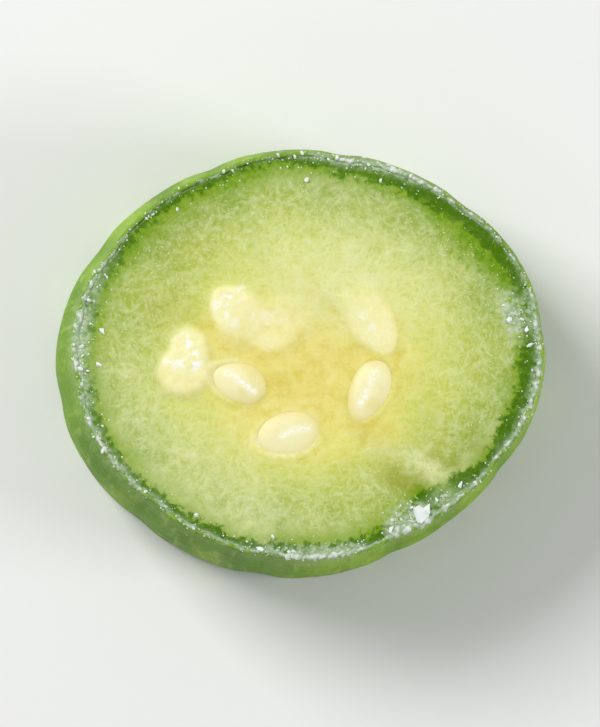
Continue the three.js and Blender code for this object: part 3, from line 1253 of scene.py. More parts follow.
@dataclass(frozen=True)
class FrostFinish(Finish):
    """Small grains of ice: nearly white, with bright facets."""

    name: str = "gourd_frost"
    ice: Colour = paint(250, 253, 250)
    shade: Colour = paint(222, 234, 214)
    clearness: float = 0.0
    roughness: float = 0.2
    mottle_grain: Grain = Grain(1500.0)
    mottle_depth: float = 0.03
    shading: Ramp = Ramp(0.35, 0.7)

    def inputs(self, canvas: Canvas) -> Inputs:
        """The ice's colour over a faint relief.

        Args:
            canvas: The finish's tree.

        Returns:
            The shader's inputs.
        """
        return {
            "Base Color": self.colour(canvas),
            "Roughness": self.roughness,
            "Normal": canvas.bump((canvas.noise(self.mottle_grain), self.mottle_depth)),
            "Subsurface Weight": 0.2,
            "Subsurface Radius": (1.0, 1.0, 1.0),
            "Subsurface Scale": 0.0005,
            "Transmission Weight": self.clearness,
            "IOR": 1.31,
        }

    def colour(self, canvas: Canvas) -> Signal:
        """White ice with slightly shaded spots."""
        return canvas.blend(canvas.noise(self.mottle_grain).ramp(self.shading), self.shade, self.ice)


@dataclass(frozen=True)
class ThreadFinish(FrostFinish):
    """Pale threads of flesh and ice: cream in the heart, greener outwards."""

    name: str = "gourd_thread"
    ice: Colour = paint(212, 226, 146)
    shade: Colour = paint(246, 240, 168)
    edge: Colour = paint(150, 184, 76)
    roughness: float = 0.5
    outwards: Ramp = Ramp(0.3, 0.95)
    near_rim: Ramp = Ramp(4.5, 1.5)

    def colour(self, canvas: Canvas) -> Signal:
        """The thread's colour by how far it lies from the heart."""
        colour = canvas.blend(canvas.carried("core").ramp(self.outwards), self.shade, self.ice)
        return canvas.blend(canvas.carried("rim").ramp(self.near_rim), colour, self.edge)


@dataclass(frozen=True)
class CrustFinish(FrostFinish):
    """Crusted ice: green and half clear where it is thin, white where it is heaped up."""

    name: str = "gourd_crust"
    thin: Colour = paint(168, 194, 146)
    shade: Colour = paint(232, 240, 226)
    clearness: float = 0.2
    roughness: float = 0.32
    heap_uneven: Ramp = Ramp(0.2, 0.8, -0.15, 0.15)
    heaped: Ramp = Ramp(0.08, 0.68)

    def colour(self, canvas: Canvas) -> Signal:
        """The ice's colour by how high it is heaped."""
        heap = canvas.carried("lift") + canvas.noise(self.mottle_grain).ramp(self.heap_uneven)
        return canvas.blend(heap.ramp(self.heaped), self.thin, super().colour(canvas))


# ---- What lies round the edge and on the upper cut ---------------------------------------------------


@dataclass(frozen=True)
class EdgeStretch:
    """A stretch of the cut edge, centred at turn_deg, that reaches this far in from the skin."""

    turn_deg: float
    half_width_deg: float
    amount: float
    reach: float = 0.0
    start: float = 0.2

    def along(self, angle: Array) -> Array:
        """The stretch's amount at its middle, falling off to either side."""
        turn = np.angle(np.exp(1j * (angle - math.radians(self.turn_deg))))
        return self.amount * bell(turn, math.radians(self.half_width_deg))

    def over(self, angle: Array, rim: Array) -> Array:
        """The stretch's amount, falling off to either side and inwards."""
        return self.along(angle) * smooth(rim, self.reach, self.start)


@dataclass(frozen=True)
class Profile:
    """A value round the cut edge: what it usually is, and what some stretches add to it."""

    usual: float
    stretches: tuple[EdgeStretch, ...] = ()

    def at(self, angle: Array) -> Array:
        """The value in each direction."""
        return self.usual + sum(stretch.along(angle) for stretch in self.stretches)


@dataclass(frozen=True)
class Smear:
    """A soft streak on the upper cut, from one place to another."""

    start: tuple[float, float]
    stop: tuple[float, float]
    width: float
    amount: float

    def at(self, x: Array, y: Array) -> Array:
        """How strong the streak is.

        Args:
            x: Places across the face.
            y: Places up the face.

        Returns:
            The streak's amount at each place.
        """
        dx, dy = self.stop[0] - self.start[0], self.stop[1] - self.start[1]
        along = (x - self.start[0]) * dx + (y - self.start[1]) * dy
        share = np.clip(along / (dx * dx + dy * dy), 0, 1)
        away = np.hypot(x - self.start[0] - dx * share, y - self.start[1] - dy * share)
        return self.amount * bell(away, self.width)


def smeared(smears: tuple[Smear, ...], x: Array, y: Array) -> Array:
    """What some streaks add up to at each place, 1 at the most."""
    return np.clip(sum(smear.at(x, y) for smear in smears), 0, 1)


@dataclass(frozen=True)
class Frosting:
    """Where frost lies on the upper cut, and how dark and how broad the flesh's green edge is.

    Frost is a thin, broken line along the edge, with thicker patches. The dark band lies dark_place in
    from the edge, and the green fades inwards from it over green_depth.
    """

    line: Profile = Profile(0.62, (
        EdgeStretch(105, 20, -0.42),
        EdgeStretch(140, 18, -0.3),
        EdgeStretch(-60, 8, -0.2),
        EdgeStretch(222, 20, -0.12),
    ))
    # Round the upper left, from about 90° to 150°, the dark band lies nearer the edge: partly the flesh's
    # own green, partly painted shadow.
    dark_place: Profile = Profile(1.3, (
        EdgeStretch(-51, 7, 1.6),
        EdgeStretch(-40, 5, 0.8),
        EdgeStretch(-30, 5, -0.3),
        EdgeStretch(-19, 6, 0.9),
        EdgeStretch(-2, 8, 1.0),
        EdgeStretch(30, 15, 0.55),
        EdgeStretch(57, 14, 0.6),
        EdgeStretch(76, 9, 0.35),
        EdgeStretch(104, 16, -0.7),
        EdgeStretch(138, 16, -0.4),
        EdgeStretch(171, 8, 0.5),
        EdgeStretch(214, 17, -0.3),
        EdgeStretch(236, 9, -0.1),
        EdgeStretch(254, 10, -0.2),
    ))
    dark_strength: Profile = Profile(0.95, (
        EdgeStretch(-60, 5, -0.6),
        EdgeStretch(-80, 5, -0.2),
        EdgeStretch(10, 6, -0.3),
        EdgeStretch(72, 7, -0.2),
        EdgeStretch(162, 7, -0.4),
        EdgeStretch(180, 8, -0.75),
        EdgeStretch(200, 8, -0.2),
        EdgeStretch(222, 18, -0.12),
        EdgeStretch(-45, 3.5, -0.65),
    ))
    # Round the upper left, from about 90° to 150°, the green reaches further in: partly the flesh's own
    # green, partly painted shadow.
    green_depth: Profile = Profile(1.0, (
        EdgeStretch(34, 13, 1.9),
        EdgeStretch(70, 8, 0.4),
        EdgeStretch(92, 9, 0.6),
        EdgeStretch(112, 10, 0.8),
        EdgeStretch(142, 14, 0.6),
        EdgeStretch(-50, 6, 0.5),
        EdgeStretch(-30, 12, -0.4),
        EdgeStretch(225, 30, -0.62),
        EdgeStretch(260, 14, -0.4),
        EdgeStretch(-80, 10, -0.3),
    ))
    line_width: float = 0.32
    line_inset: float = 0.36
    dashes: int = 63
    dash_depth: float = 0.2
    dash_drift: Ripple = Ripple(2.2, 9)
    scatter: Ramp = Ramp(4.0, 0.5, 0.0, 0.12)
    most: float = 0.82
    bloom_base: float = 0.2
    bloom_gain: float = 0.7
    patches: tuple[EdgeStretch, ...] = (
        EdgeStretch(-56, 12, 0.55, 4.6, 1.8),
        EdgeStretch(-70, 4, -0.4, 6.0, 3.0),
        EdgeStretch(-51, 3, -0.25, 6.0, 3.0),
        EdgeStretch(-86, 18, 0.42, 2.6, 0.8),
        EdgeStretch(-10, 16, 0.28, 1.8, 0.6),
        EdgeStretch(11, 7, 0.66, 4.7, 3.4),
        EdgeStretch(11, 7, -0.4, 2.5, 1.6),
        EdgeStretch(38, 13, -0.14, 6.0, 4.0),
        EdgeStretch(72, 18, 0.36, 2.0),
        EdgeStretch(42, 12, 0.25, 1.4),
        EdgeStretch(175, 18, 0.38, 3.4, 0.6),
        EdgeStretch(-150, 20, 0.2, 2.4),
    )

    def at(self, angle: Array, rim: Array) -> Array:
        """How thick the frost is.

        Args:
            angle: The direction of each place from the middle.
            rim: Its distance in from the outer edge.

        Returns:
            The frost, from 0 to 1.
        """
        dashes = np.sin(self.dashes * angle + self.dash_drift.at(angle))
        broken = 1 - self.dash_depth + self.dash_depth * dashes
        frost = self.line.at(angle) * broken * bell(rim - self.line_inset, self.line_width)
        frost = frost + self.scatter.at(rim)
        return np.clip(frost + sum(patch.over(angle, rim) for patch in self.patches), 0.0, self.most)

    def bloom(self, angle: Array) -> Array:
        """How frosted the skin is just below the cut, 0 to 1."""
        patches = sum(patch.along(angle) for patch in self.patches)
        return np.clip(self.bloom_base + self.bloom_gain * patches, 0.0, 1.0)

    def edge(self, angle: Array, rim: Array) -> dict[str, Array]:
        """How the flesh's green edge looks.

        Args:
            angle: The direction of each place from the middle.
            rim: Its distance in from the outer edge.

        Returns:
            How far each place is past the dark band, how many green depths that is, and how green it is.
        """
        past = rim - self.dark_place.at(angle)
        green = past / self.green_depth.at(angle)
        return {"dark": past, "green": green, "shade": np.clip(self.dark_strength.at(angle), 0.0, 1.0)}


# ---- The pieces --------------------------------------------------------------------------------------


@dataclass(frozen=True)
class Flesh:
    """The flesh inside the rind, with both cut faces."""

    form: GourdForm
    frosting: Frosting
    sectors: int = 384
    upper_rings: int = 170
    lower_rings: int = 50
    side_rings: int = 5
    edge_crowding: float = 1.15
    rind_cover: float = 0.3
    edge_round: Ramp = Ramp(0.5, 0.0, 0.0, 0.25)
    lip_height: float = 0.14
    lip_width: float = 0.42
    lip_place: float = -0.15
    hollow: Ramp = Ramp(0.45, -0.3, 0.0, 0.35)
    roughness: Roughness = Roughness(0.22, 230.0, 3.0)
    roughness_stretch: Triple = (1.0, 1.0, 1.0)
    smooth_seeds: Ramp = Ramp(-0.2, 0.8)
    heart_squash: float = 1.08
    rim_share: float = 0.95
    seed_nearest: float = -1.0
    seed_farthest: float = 5.0
    thread_cores: Ramp = Ramp(0.38, 0.85)
    thread_rims: Ramp = Ramp(1.2, 3.6, 0.1, 1.0)
    thread_wettest: float = 0.7
    # Olive wet patches; those near the pale wedge at the lower right are painted shadow.
    wet_and_shadow: tuple[Smear, ...] = (
        Smear((9.5, -13.7), (12.8, -15.2), 1.7, 0.8),
        Smear((14.0, -11.4), (16.6, -13.0), 0.7, 0.5),
        Smear((16.5, -11.4), (19.6, -10.4), 1.5, 0.22),
        Smear((5.6, -8.8), (8.6, -9.6), 1.2, 0.28),
        Smear((3.0, -12.2), (14.0, -9.6), 2.0, 0.12),
        Smear((4.0, 18.6), (11.0, 16.6), 2.2, 0.1),
        Smear((-17.0, 5.4), (-13.5, 4.0), 2.4, 0.38),
        Smear((-15.5, 11.5), (-11.5, 15.0), 2.8, 0.27),
        Smear((17.0, -7.0), (18.5, -10.5), 2.4, 0.12),
        Smear((21.6, -9.0), (22.8, -5.5), 1.0, 0.3),
    )
    warmth: tuple[Smear, ...] = (
        Smear((-11.0, 2.2), (-6.0, -0.2), 1.2, 0.16),
        Smear((6.2, -8.4), (8.6, -8.9), 1.5, 0.16),
        Smear((-8.6, -7.4), (-5.0, -6.2), 1.0, 0.08),
    )
    glints: tuple[Smear, ...] = (
        Smear((-9.8, 5.6), (-7.4, 6.8), 0.7, 1.0),
        Smear((-9.6, 4.8), (-8.3, 3.6), 0.7, 0.7),
        Smear((-6.4, 4.6), (-3.0, 4.2), 0.7, 0.35),
        Smear((-13.6, 1.6), (-12.4, -0.8), 0.7, 0.9),
        Smear((-15.6, -0.8), (-12.6, -1.4), 0.6, 0.8),
        Smear((6.0, 4.2), (8.0, 2.2), 0.9, 0.5),
    )
    haze: tuple[Smear, ...] = (
        Smear((-1.5, 9.5), (3.5, 9.0), 5.5, 0.65),
        Smear((0.0, 5.2), (3.6, 4.6), 2.8, 0.4),
        Smear((8.0, 9.0), (10.5, 6.5), 5.0, 0.5),
        Smear((15.5, 9.5), (17.0, -2.0), 2.8, 0.09),
        Smear((-13.5, -11.5), (-7.0, -16.0), 5.0, 0.55),
        Smear((-19.0, -2.0), (-18.5, -7.5), 3.0, 0.38),
        Smear((16.9, -13.2), (21.4, -7.6), 0.9, 0.5),
        Smear((21.6, 6.2), (22.9, 2.6), 0.9, 0.45),
        Smear((6.8, -10.5), (11.8, -11.2), 0.5, 0.6),
        Smear((11.6, -11.9), (14.6, -14.6), 1.1, 0.75),
        Smear((12.2, -11.6), (17.4, -14.3), 0.8, 0.95),
        Smear((5.9, -13.3), (8.6, -15.3), 0.4, 0.6),
        Smear((-3.0, 19.6), (8.0, 19.0), 1.4, 0.3),
        Smear((-23.3, -0.5), (-22.9, -4.0), 1.1, 0.25),
        Smear((-22.3, -6.2), (-19.2, -11.4), 1.3, 0.24),
        Smear((-17.6, -13.2), (-12.3, -17.2), 1.3, 0.3),
        Smear((-10.2, -18.3), (-4.5, -20.0), 1.2, 0.34),
        Smear((-6.0, -19.0), (4.0, -19.4), 1.6, 0.25),
    )

    def build(self, material: Material, relief: Relief) -> Piece:
        """Makes the flesh as one closed mesh.

        Args:
            material: The flesh's finish.
            relief: The tree that roughens its cut faces.

        Returns:
            The finished piece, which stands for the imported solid.
        """
        parts = [self.cut_face(Face.LOWER)[::-1], self.side(), self.cut_face(Face.UPPER)]
        points = np.concatenate(parts)
        shell = Shell(self.form.placed(points), self.values(points, len(parts[0]), len(parts[1])))
        inputs = {"Stretch": self.roughness_stretch, **self.roughness.inputs()}
        made = relief.reshape(shell.mesh("flesh_blank"), "flesh", material, **inputs)
        return settle(made, Slot.FLESH, NODE)

    def cut_face(self, face: Face) -> Array:
        """Lays the rings of a cut face, closer together near its edge.

        Args:
            face: Which of the two.

        Returns:
            The points, from the edge to the middle.
        """
        angle, upper = directions(self.sectors), face is Face.UPPER
        height = self.form.thickness if upper else 0.0
        edge = self.form.wall(angle, np.full_like(angle, height), self.rind_cover)
        middle = (0.0, 0.0) if upper else self.form.lean
        steps = np.linspace(0, 1, self.upper_rings if upper else self.lower_rings, endpoint=False)
        share = (1 - steps**self.edge_crowding)[:, None]
        x = middle[0] + (edge[None, :, 0] - middle[0]) * share
        y = middle[1] + (edge[None, :, 1] - middle[1]) * share
        z = self.upper_relief(x, y, share) if upper else self.lower_relief(x, y)
        rounding = self.edge_round.at(np.hypot(edge[None, :, 0] - x, edge[None, :, 1] - y))
        return np.stack([x, y, z - rounding if upper else z + rounding], axis=-1)

    def upper_relief(self, x: Array, y: Array, share: Array) -> Array:
        """Height of the upper cut face, which laps up against open seeds and swells over covered ones.

        Args:
            x: Places across the face.
            y: Places up the face.
            share: How far each ring is from the middle to the edge, from 0 to 1.

        Returns:
            The heights.
        """
        z = self.form.upper_height(x, y, np.broadcast_to(share, x.shape))
        for seed in self.form.open_seeds:
            z = z + self.lip_height * bell(seed.outline(x, y)[1] - self.lip_place, self.lip_width)
        swellings = np.array([seed.swelling(x, y) for seed in self.form.film_seeds])
        return z + (swellings**3).sum(axis=0) ** (1 / 3)

    def lower_relief(self, x: Array, y: Array) -> Array:
        """Height of the lower cut face, which rests level, with hollows round its seeds."""
        return sum(self.hollow.at(seed.outline(x, y)[1]) for seed in self.form.lower_seeds)

    def side(self) -> Array:
        """Rings behind the rind, from the lower face to the upper one."""
        height = np.linspace(0, self.form.thickness, self.side_rings + 2)[1:-1, None]
        return self.form.wall(directions(self.sectors)[None, :], height, self.rind_cover)

    def values(self, points: Array, lower: int, side: int) -> dict[str, Array]:
        """What the finish and the frost need to know at each point.

        Args:
            points: All rings, lower face first.
            lower: How many rings the lower face has.
            side: How many rings lie behind the rind.

        Returns:
            Numbers by name, each with one value a point.
        """
        form, x, y = self.form, points[..., 0], points[..., 1]
        ring = np.arange(len(points))[:, None]
        upper = ring >= lower + side
        behind = (ring >= lower) & ~upper
        dx, dy = (way - np.where(upper, 0.0, lean) for way, lean in zip((x, y), form.lean))
        angle = np.arctan2(dy, dx)
        edge = form.outline(angle) + np.where(upper, 0.0, form.flare)
        rim = np.where(behind, 0.0, np.clip(edge - np.hypot(dx, dy), 0.0, None))
        away = np.hypot(dx - form.heart[0], (dy - form.heart[1]) * self.heart_squash)
        warm = smeared(self.warmth, x, y) * upper
        core = np.clip(away / (away + rim * self.rim_share + TINY) - warm, 0, 1)
        past_open, past_lower = (
            np.min([seed.outline(x, y)[1] for seed in seeds], axis=0)
            for seeds in (form.open_seeds, form.lower_seeds)
        )
        past_seed = np.where(upper, past_open, past_lower)
        film = 1 - np.prod([1 - seed.covered(x, y) for seed in form.film_seeds], axis=0)
        wet_and_shadow = smeared(self.wet_and_shadow, x, y)
        bare = (1 - film) * (1 - np.clip(wet_and_shadow, 0, self.thread_wettest))
        return {
            "rim": rim,
            "core": core,
            "seed": np.clip(past_seed, self.seed_nearest, self.seed_farthest),
            "film": film * upper,
            "glint": smeared(self.glints, x, y) * upper,
            "wet_and_shadow": wet_and_shadow * upper,
            "haze": smeared(self.haze, x, y),
            **self.frosting.edge(angle, rim),
            "frost": self.frosting.at(angle, rim) * upper,
            "relief": self.smooth_seeds.at(past_open) * upper,
            "threads": self.thread_cores.at(core) * self.thread_rims.at(rim) * bare * upper,
        }


@dataclass(frozen=True)
class Rind:
    """The thin skin: the whole side of the slice and the two cut edges that stand round the flesh."""

    form: GourdForm
    frosting: Frosting
    sectors: int = 480
    wall_rings: int = 64
    thickness: float = 0.5
    edge_round: float = 0.22
    round_steps: int = 4
    tuck: float = 0.8
    tuck_inset: float = 0.06
    inner_drop: float = 0.08
    foot_lift: float = 0.02
    lip_depth: float = 0.35
    lip_sink: float = 0.05
    lip_ripples: tuple[Ripple, ...] = (Ripple(0.09, 23, 1.3), Ripple(0.07, 41), Ripple(0.06, 67, 0.6))
    rime_depth: float = 9.0
    rime_power: float = 1.3
    ridges_end: float = 1.0
    ridges: Roughness = Roughness(0.22, 420.0, 8.0)
    ridge_stretch: Triple = (1.0, 1.0, 0.07)

    def build(self, material: Material, relief: Relief) -> Piece:
        """Makes the rind as one closed ring.

        Args:
            material: The rind's finish.
            relief: The tree that draws fine ridges along it.

        Returns:
            The finished piece.
        """
        top, angle = self.form.thickness, directions(self.sectors)[None, :]
        inset, height = (np.array(column)[:, None] for column in zip(*self.sections()))
        points = self.form.wall(angle, height, inset)
        all_round = np.ones_like(angle)
        lip = smooth(height, top - self.lip_depth, top) * all_round
        points[..., 2] += lip * (sum(ripple.at(angle) for ripple in self.lip_ripples) - self.lip_sink)
        wall = (inset < self.thickness / 2) * all_round
        rime = smooth(height, top - self.rime_depth, top) ** self.rime_power
        values = {
            "lip": lip,
            "furrow": self.form.furrow(angle) * wall,
            "frost": self.frosting.at(angle, inset * all_round) * lip,
            "rime": rime * self.frosting.bloom(angle),
            "relief": wall * smooth(height, top, top - self.ridges_end),
        }
        shell = Shell(self.form.placed(points), values, closed_section=True)
        inputs = {"Stretch": self.ridge_stretch, **self.ridges.inputs()}
        made = relief.reshape(shell.mesh("rind_blank"), "rind", material, **inputs)
        return settle(made, Slot.SKIN)

    def sections(self) -> list[tuple[float, float]]:
        """Draws the rind's cut section.

        Returns:
            Insets and heights, once round from the lower inner corner.
        """
        top, corner, tuck = self.form.thickness, self.edge_round, self.thickness + self.tuck_inset
        turns = np.linspace(0, np.pi / 2, self.round_steps + 1)
        lower = [(corner * (1 - math.sin(t)), corner * (1 - math.cos(t))) for t in turns]
        upper = [(corner * (1 - math.cos(t)), top - corner * (1 - math.sin(t))) for t in turns]
        wall = [(0.0, float(h)) for h in np.linspace(corner, top - corner, self.wall_rings + 1)[1:-1]]
        inner = [(self.thickness, top - self.inner_drop), (tuck, top - self.tuck), (tuck, self.tuck)]
        return [(self.thickness, self.foot_lift), *lower, *wall, *upper, *inner]


@dataclass(frozen=True)
class Seeds:
    """The seeds of both cut faces, each a smooth flattened egg."""

    form: GourdForm
    height: float = 2.0
    sectors: int = 72
    rings: int = 44
    fullness: float = 0.9
    cap_power: float = 1.6
    bedding: float = 0.04
    recess: float = 0.12
    glints: tuple[Smear, ...] = (
        Smear((7.6, -1.9), (7.1, -3.2), 0.5, 0.6),
        Smear((6.7, -4.2), (5.9, -5.6), 0.32, 1.0),
        Smear((-7.7, -2.9), (-5.9, -4.2), 0.34, 1.0),
        Smear((-9.0, -2.2), (-8.2, -2.4), 0.5, 0.6),
        Smear((-2.8, -9.1), (-2.2, -8.8), 0.34, 1.0),
        Smear((-1.6, -8.6), (0.1, -8.3), 0.5, 0.6),
    )

    def build(self, material: Material) -> None:
        """Makes each seed as its own piece, bedded in its pocket.

        Args:
            material: The seeds' finish.
        """
        for seed in self.form.open_seeds:
            level = self.form.upper_level(seed.x, seed.y) - self.bedding
            self.one(seed, level, seed.rise + self.bedding, material)
        for seed in self.form.lower_seeds:
            self.one(seed, self.recess + self.height / 2, self.height / 2, material)

    def one(self, seed: SeedPlace, level: float, cap: float, material: Material) -> Piece:
        """Makes one seed.

        Args:
            seed: Its place and size.
            level: The height at which it is widest.
            cap: How far its top rises above that.
            material: Its finish.

        Returns:
            The finished piece.
        """
        latitude = np.linspace(-np.pi / 2, np.pi / 2, self.rings + 2)[1:-1, None]
        turn = directions(self.sectors)[None, :]
        out, up = np.cos(latitude) ** self.fullness, np.sin(latitude)
        along = out * np.cos(turn)
        narrow = 1 - seed.taper * along
        across = out * np.sin(turn) * narrow
        x, y = seed.spread(along * seed.length / 2, across * seed.width / 2)
        z = level + np.where(up > 0, np.abs(up) ** self.cap_power * cap, up * narrow * self.height / 2)
        glint = smeared(self.glints, x, y) * (level > self.form.thickness / 2)
        values = {"crown": np.abs(up) * np.ones_like(turn), "glint": glint}
        shell = Shell(self.form.placed(np.stack([x, y, z], axis=-1)), values)
        return settle(dress(shell.mesh(f"seed_{seed.name}"), material), Slot.SEED)


@dataclass(frozen=True)
class Scatter:
    """One kind of grain: the host's value that it follows, how many to a square metre, and its sizes."""

    name: str
    value: str
    density: float
    smallest: Triple
    largest: Triple
    seed: int
    flat: bool = False

    def over(self, host: Piece, name: str, grains: Grains, material: Material) -> Piece:
        """Scatters the grains over a host.

        Args:
            host: What they lie on.
            name: What they are called.
            grains: The tree that scatters.
            material: Their finish.

        Returns:
            All the grains as one finished piece.
        """
        inputs = {"Value": self.value, "Density": self.density, "Seed": self.seed, "Flat": self.flat}
        inputs["Smallest"] = tuple(side * MM for side in self.smallest)
        inputs["Largest"] = tuple(side * MM for side in self.largest)
        return settle(grains.grow(host, name, material, **inputs), Slot.FROST)


@dataclass(frozen=True)
class Chips:
    """Larger sharp crystals, each the hull of a few random points. A place has an x, a y and a size."""

    form: GourdForm
    corners: int = 9
    sides: Triple = (0.6, 0.42, 0.3)
    lift: float = 0.12
    seed: int = 17
    places: tuple[Triple, ...] = (
        (12.6, -17.9, 2.1),
        (13.5, -17.3, 1.5),
        (15.3, -15.8, 1.1),
        (14.5, -16.3, 0.8),
        (11.6, -18.7, 0.9),
        (9.4, -19.6, 0.8),
        (17.2, -14.6, 0.8),
        (21.9, 5.2, 0.8),
        (24.6, 2.8, 0.7),
        (-22.9, 2.6, 0.8),
        (-23.3, -1.2, 0.7),
    )

    def build(self, material: Material) -> Piece:
        """Makes all the crystals as one piece.

        Args:
            material: Their finish.

        Returns:
            The finished piece.
        """
        draw = np.random.default_rng(self.seed)
        shapes = bmesh.new()
        for x, y, size in self.places:
            cloud = draw.normal(size=(self.corners, 3))
            cloud /= np.linalg.norm(cloud, axis=1)[:, None]
            cloud = cloud * np.array(self.sides) * size
            spun_x, spun_y = turned(cloud[:, 0], cloud[:, 1], draw.uniform(0, math.tau))
            level = self.form.upper_level(x, y) + self.lift * size
            points = np.stack([spun_x + x, spun_y + y, cloud[:, 2] + level], axis=-1)
            corners = [shapes.verts.new(point) for point in self.form.placed(points)]
            bmesh.ops.convex_hull(shapes, input=corners)
        bmesh.ops.recalc_face_normals(shapes, faces=shapes.faces)
        data = bpy.data.meshes.new("frost_chips")
        shapes.to_mesh(data)
        shapes.free()
        return settle(dress(added("frost_chips", data), material), Slot.FROST)


@dataclass(frozen=True)
class IceCrust:
    """A closed sheet of ice from the lip of the rind inwards, heaped up or sunk row by row."""

    form: GourdForm
    frosting: Frosting
    sectors: int = 1150
    rows: int = 38
    overhang: float = 0.04
    reach: float = 4.4
    base: float = 0.6
    base_inset: float = 0.25
    sink: float = 0.03
    lip_drop: Ramp = Ramp(0.2, -0.04, 0.0, 0.25)
    on_flesh: Ramp = Ramp(0.35, 0.7)
    lumps: Roughness = Roughness(0.36, 900.0, 5.0)

    def build(self, material: Material) -> Piece:
        """Makes the crust as one piece.

        Args:
            material: Its finish.

        Returns:
            The finished piece.
        """
        angle = directions(self.sectors)[None, :]
        inset = np.linspace(-self.overhang, self.reach, self.rows)[:, None]
        sheet = self.form.top_wall(angle, inset)
        share = 1 - inset / self.form.outline(angle)
        flesh = self.form.upper_height(sheet[..., 0], sheet[..., 1], share)
        lip, over = self.form.thickness - self.lip_drop.at(inset), self.on_flesh.at(inset)
        sheet[..., 2] = lip * (1 - over) + flesh * over - self.sink
        under = sheet[[-1, 0]].copy()
        under[..., 2] -= self.base
        under[1, :, :2] = self.form.top_wall(angle, self.base_inset)[0, :, :2]
        still = np.zeros((2, self.sectors))
        values = {"frost": self.frosting.at(angle, inset), "relief": np.ones_like(share)}
        values = {name: np.concatenate([value, still]) for name, value in values.items()}
        shell = Shell(self.form.placed(np.concatenate([sheet, under])), values, closed_section=True)
        made = Crust().reshape(shell.mesh("crust_blank"), "frost_crust", material, **self.lumps.inputs())
        return settle(made, Slot.FROST)


@dataclass(frozen=True)
class Frost:
    """Ice on the upper cut: a lumpy crust along its edge, grains on the crust, and threads on the flesh."""

    form: GourdForm
    frosting: Frosting
    kinds: tuple[Scatter, ...] = (
        Scatter("fine", "frost", 0.9e7, (0.03,) * 3, (0.13,) * 3, 11),
        Scatter("coarse", "frost", 0.9e6, (0.12, 0.1, 0.08), (0.55, 0.4, 0.25), 23),
    )
    threads: Scatter = Scatter("threads", "threads", 2.4e6, (0.1, 0.04, 0.02), (0.32, 0.09, 0.03), 31, True)
    chip_finish: FrostFinish = FrostFinish("gourd_ice_chip", shade=paint(240, 247, 240), roughness=0.25)

    def build(self, flesh: Piece, rind: Piece) -> None:
        """Makes the crust and the crystals, then scatters each kind of grain.

        Args:
            flesh: The flesh, which carries how densely frost and threads lie on it.
            rind: The rind, which carries how densely frost lies on its lip.
        """
        grains = Grains()
        IceCrust(self.form, self.frosting).build(CrustFinish().make())
        ice = FrostFinish().make()
        Chips(self.form).build(self.chip_finish.make())
        for host in (flesh, rind):
            for kind in self.kinds:
                kind.over(host, f"frost_{kind.name}_{host.name}", grains, ice)
        self.threads.over(flesh, self.threads.name, grains, ThreadFinish().make())


# ---- The studio --------------------------------------------------------------------------------------


@dataclass(frozen=True)
class Lamp:
    """A square area lamp, aimed at the slice."""

    name: str
    place: Triple
    size: float
    watts: float

    def build(self) -> None:
        """Hangs the lamp."""
        data = bpy.data.lights.new(self.name, "AREA")
        data.size, data.energy = self.size, self.watts
        lamp = added(self.name, data)
        lamp.location = self.place
        lamp.rotation_euler = (-Vector(self.place)).to_track_quat("-Z", "Y").to_euler()


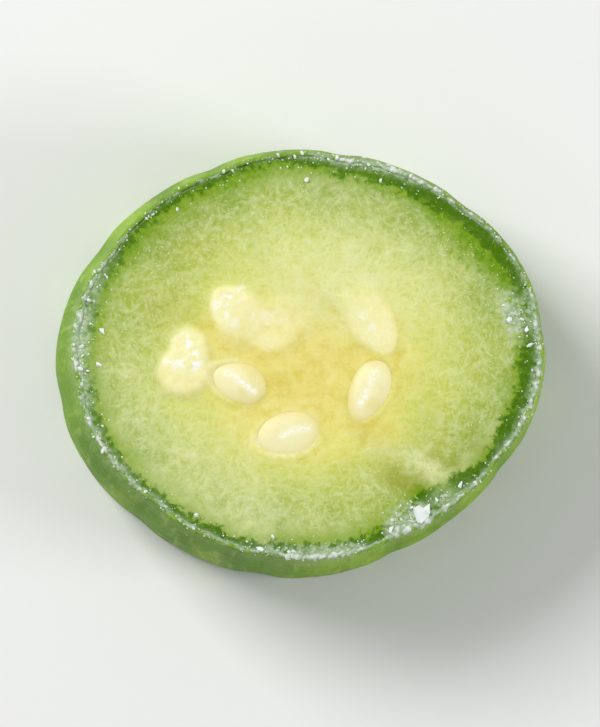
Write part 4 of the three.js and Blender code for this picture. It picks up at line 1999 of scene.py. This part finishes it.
@dataclass(frozen=True)
class Studio:
    """A pale floor, soft lamps under an even pale sky, and a camera that looks down on the slice."""

    picture: tuple[int, int] = (600, 727)
    lens: float = 400.0
    sensor: float = 36.0
    fill: float = 0.84
    nearest: float = 0.01
    farthest: float = 20.0
    tilt_deg: float = 2.0
    tilt_towards_deg: float = 237.0
    floor_reach: float = 3.0
    floor_colour: Colour = paint(238, 238, 236)
    floor_roughness: float = 0.7
    sky_colour: Colour = (0.95, 0.97, 1.0, 1.0)
    sky_strength: float = 0.36
    lamps: tuple[Lamp, ...] = (
        Lamp("key", (-0.42, 0.36, 0.62), 0.34, 4.9),
        Lamp("side", (0.55, -0.1, 0.4), 0.22, 1.4),
    )

    def build(self, low: Vector, high: Vector) -> None:
        """Sets everything round the slice.

        Args:
            low: The lowest corner of the slice's box.
            high: Its highest corner.
        """
        self.floor()
        self.sky()
        for lamp in self.lamps:
            lamp.build()
        self.camera(low, high)

    def floor(self) -> None:
        """A wide level sheet that the slice lies on."""
        data = bpy.data.meshes.new("floor")
        reach = self.floor_reach
        corners = [(-reach, -reach, 0), (reach, -reach, 0), (reach, reach, 0), (-reach, reach, 0)]
        data.from_pydata(corners, [], [(0, 1, 2, 3)])
        paper = {"Base Color": self.floor_colour, "Roughness": self.floor_roughness}
        dress(added("floor", data), Canvas("floor_paper").finished(paper))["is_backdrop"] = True

    def sky(self) -> None:
        """An even pale sky, and colours shown as they are."""
        scene = bpy.context.scene
        scene.view_settings.view_transform = "Standard"
        scene.world = bpy.data.worlds.new("studio")
        scene.world.use_nodes = True
        graph = Graph(scene.world.node_tree)
        light = {"Color": self.sky_colour, "Strength": self.sky_strength}
        graph.add("ShaderNodeOutputWorld", {"Surface": graph.make("ShaderNodeBackground", light)})

    def camera(self, low: Vector, high: Vector) -> None:
        """Sets a long lens nearly straight above, with the slice filling the width.

        Args:
            low: The lowest corner of the slice's box.
            high: Its highest corner.
        """
        data = bpy.data.cameras.new("camera")
        data.lens, data.sensor_width = self.lens, self.sensor
        data.clip_start, data.clip_end = self.nearest, self.farthest
        half_width = math.atan(self.sensor / 2 / self.lens * self.picture[0] / self.picture[1])
        away = (high.x - low.x) / 2 / self.fill / math.tan(half_width) + high.z
        tilt, towards = math.radians(self.tilt_deg), math.radians(self.tilt_towards_deg)
        side = math.sin(tilt)
        back = Vector((side * math.cos(towards), side * math.sin(towards), math.cos(tilt)))
        target = Vector(((low.x + high.x) / 2, (low.y + high.y) / 2, high.z / 2))
        right = Vector((0, 1, 0)).cross(back).normalized()
        axes = Matrix((right, back.cross(right), back)).transposed().to_4x4()
        camera = added("camera", data)
        camera.matrix_world = Matrix.Translation(target + back * away) @ axes
        bpy.context.scene.camera = camera


# ---- Building ----------------------------------------------------------------------------------------


def main() -> None:
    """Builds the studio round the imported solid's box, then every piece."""
    logging.basicConfig(level=logging.INFO, format="%(name)s: %(message)s")
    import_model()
    cad_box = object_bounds()
    form, frosting, relief = GourdForm(), Frosting(), Relief()
    Studio().build(*cad_box)
    flesh = Flesh(form, frosting).build(FleshFinish().make(), relief)
    rind = Rind(form, frosting).build(RindFinish().make(), relief)
    Seeds(form).build(SeedFinish().make())
    Frost(form, frosting).build(flesh, rind)


if __name__ == "__main__":
    main()
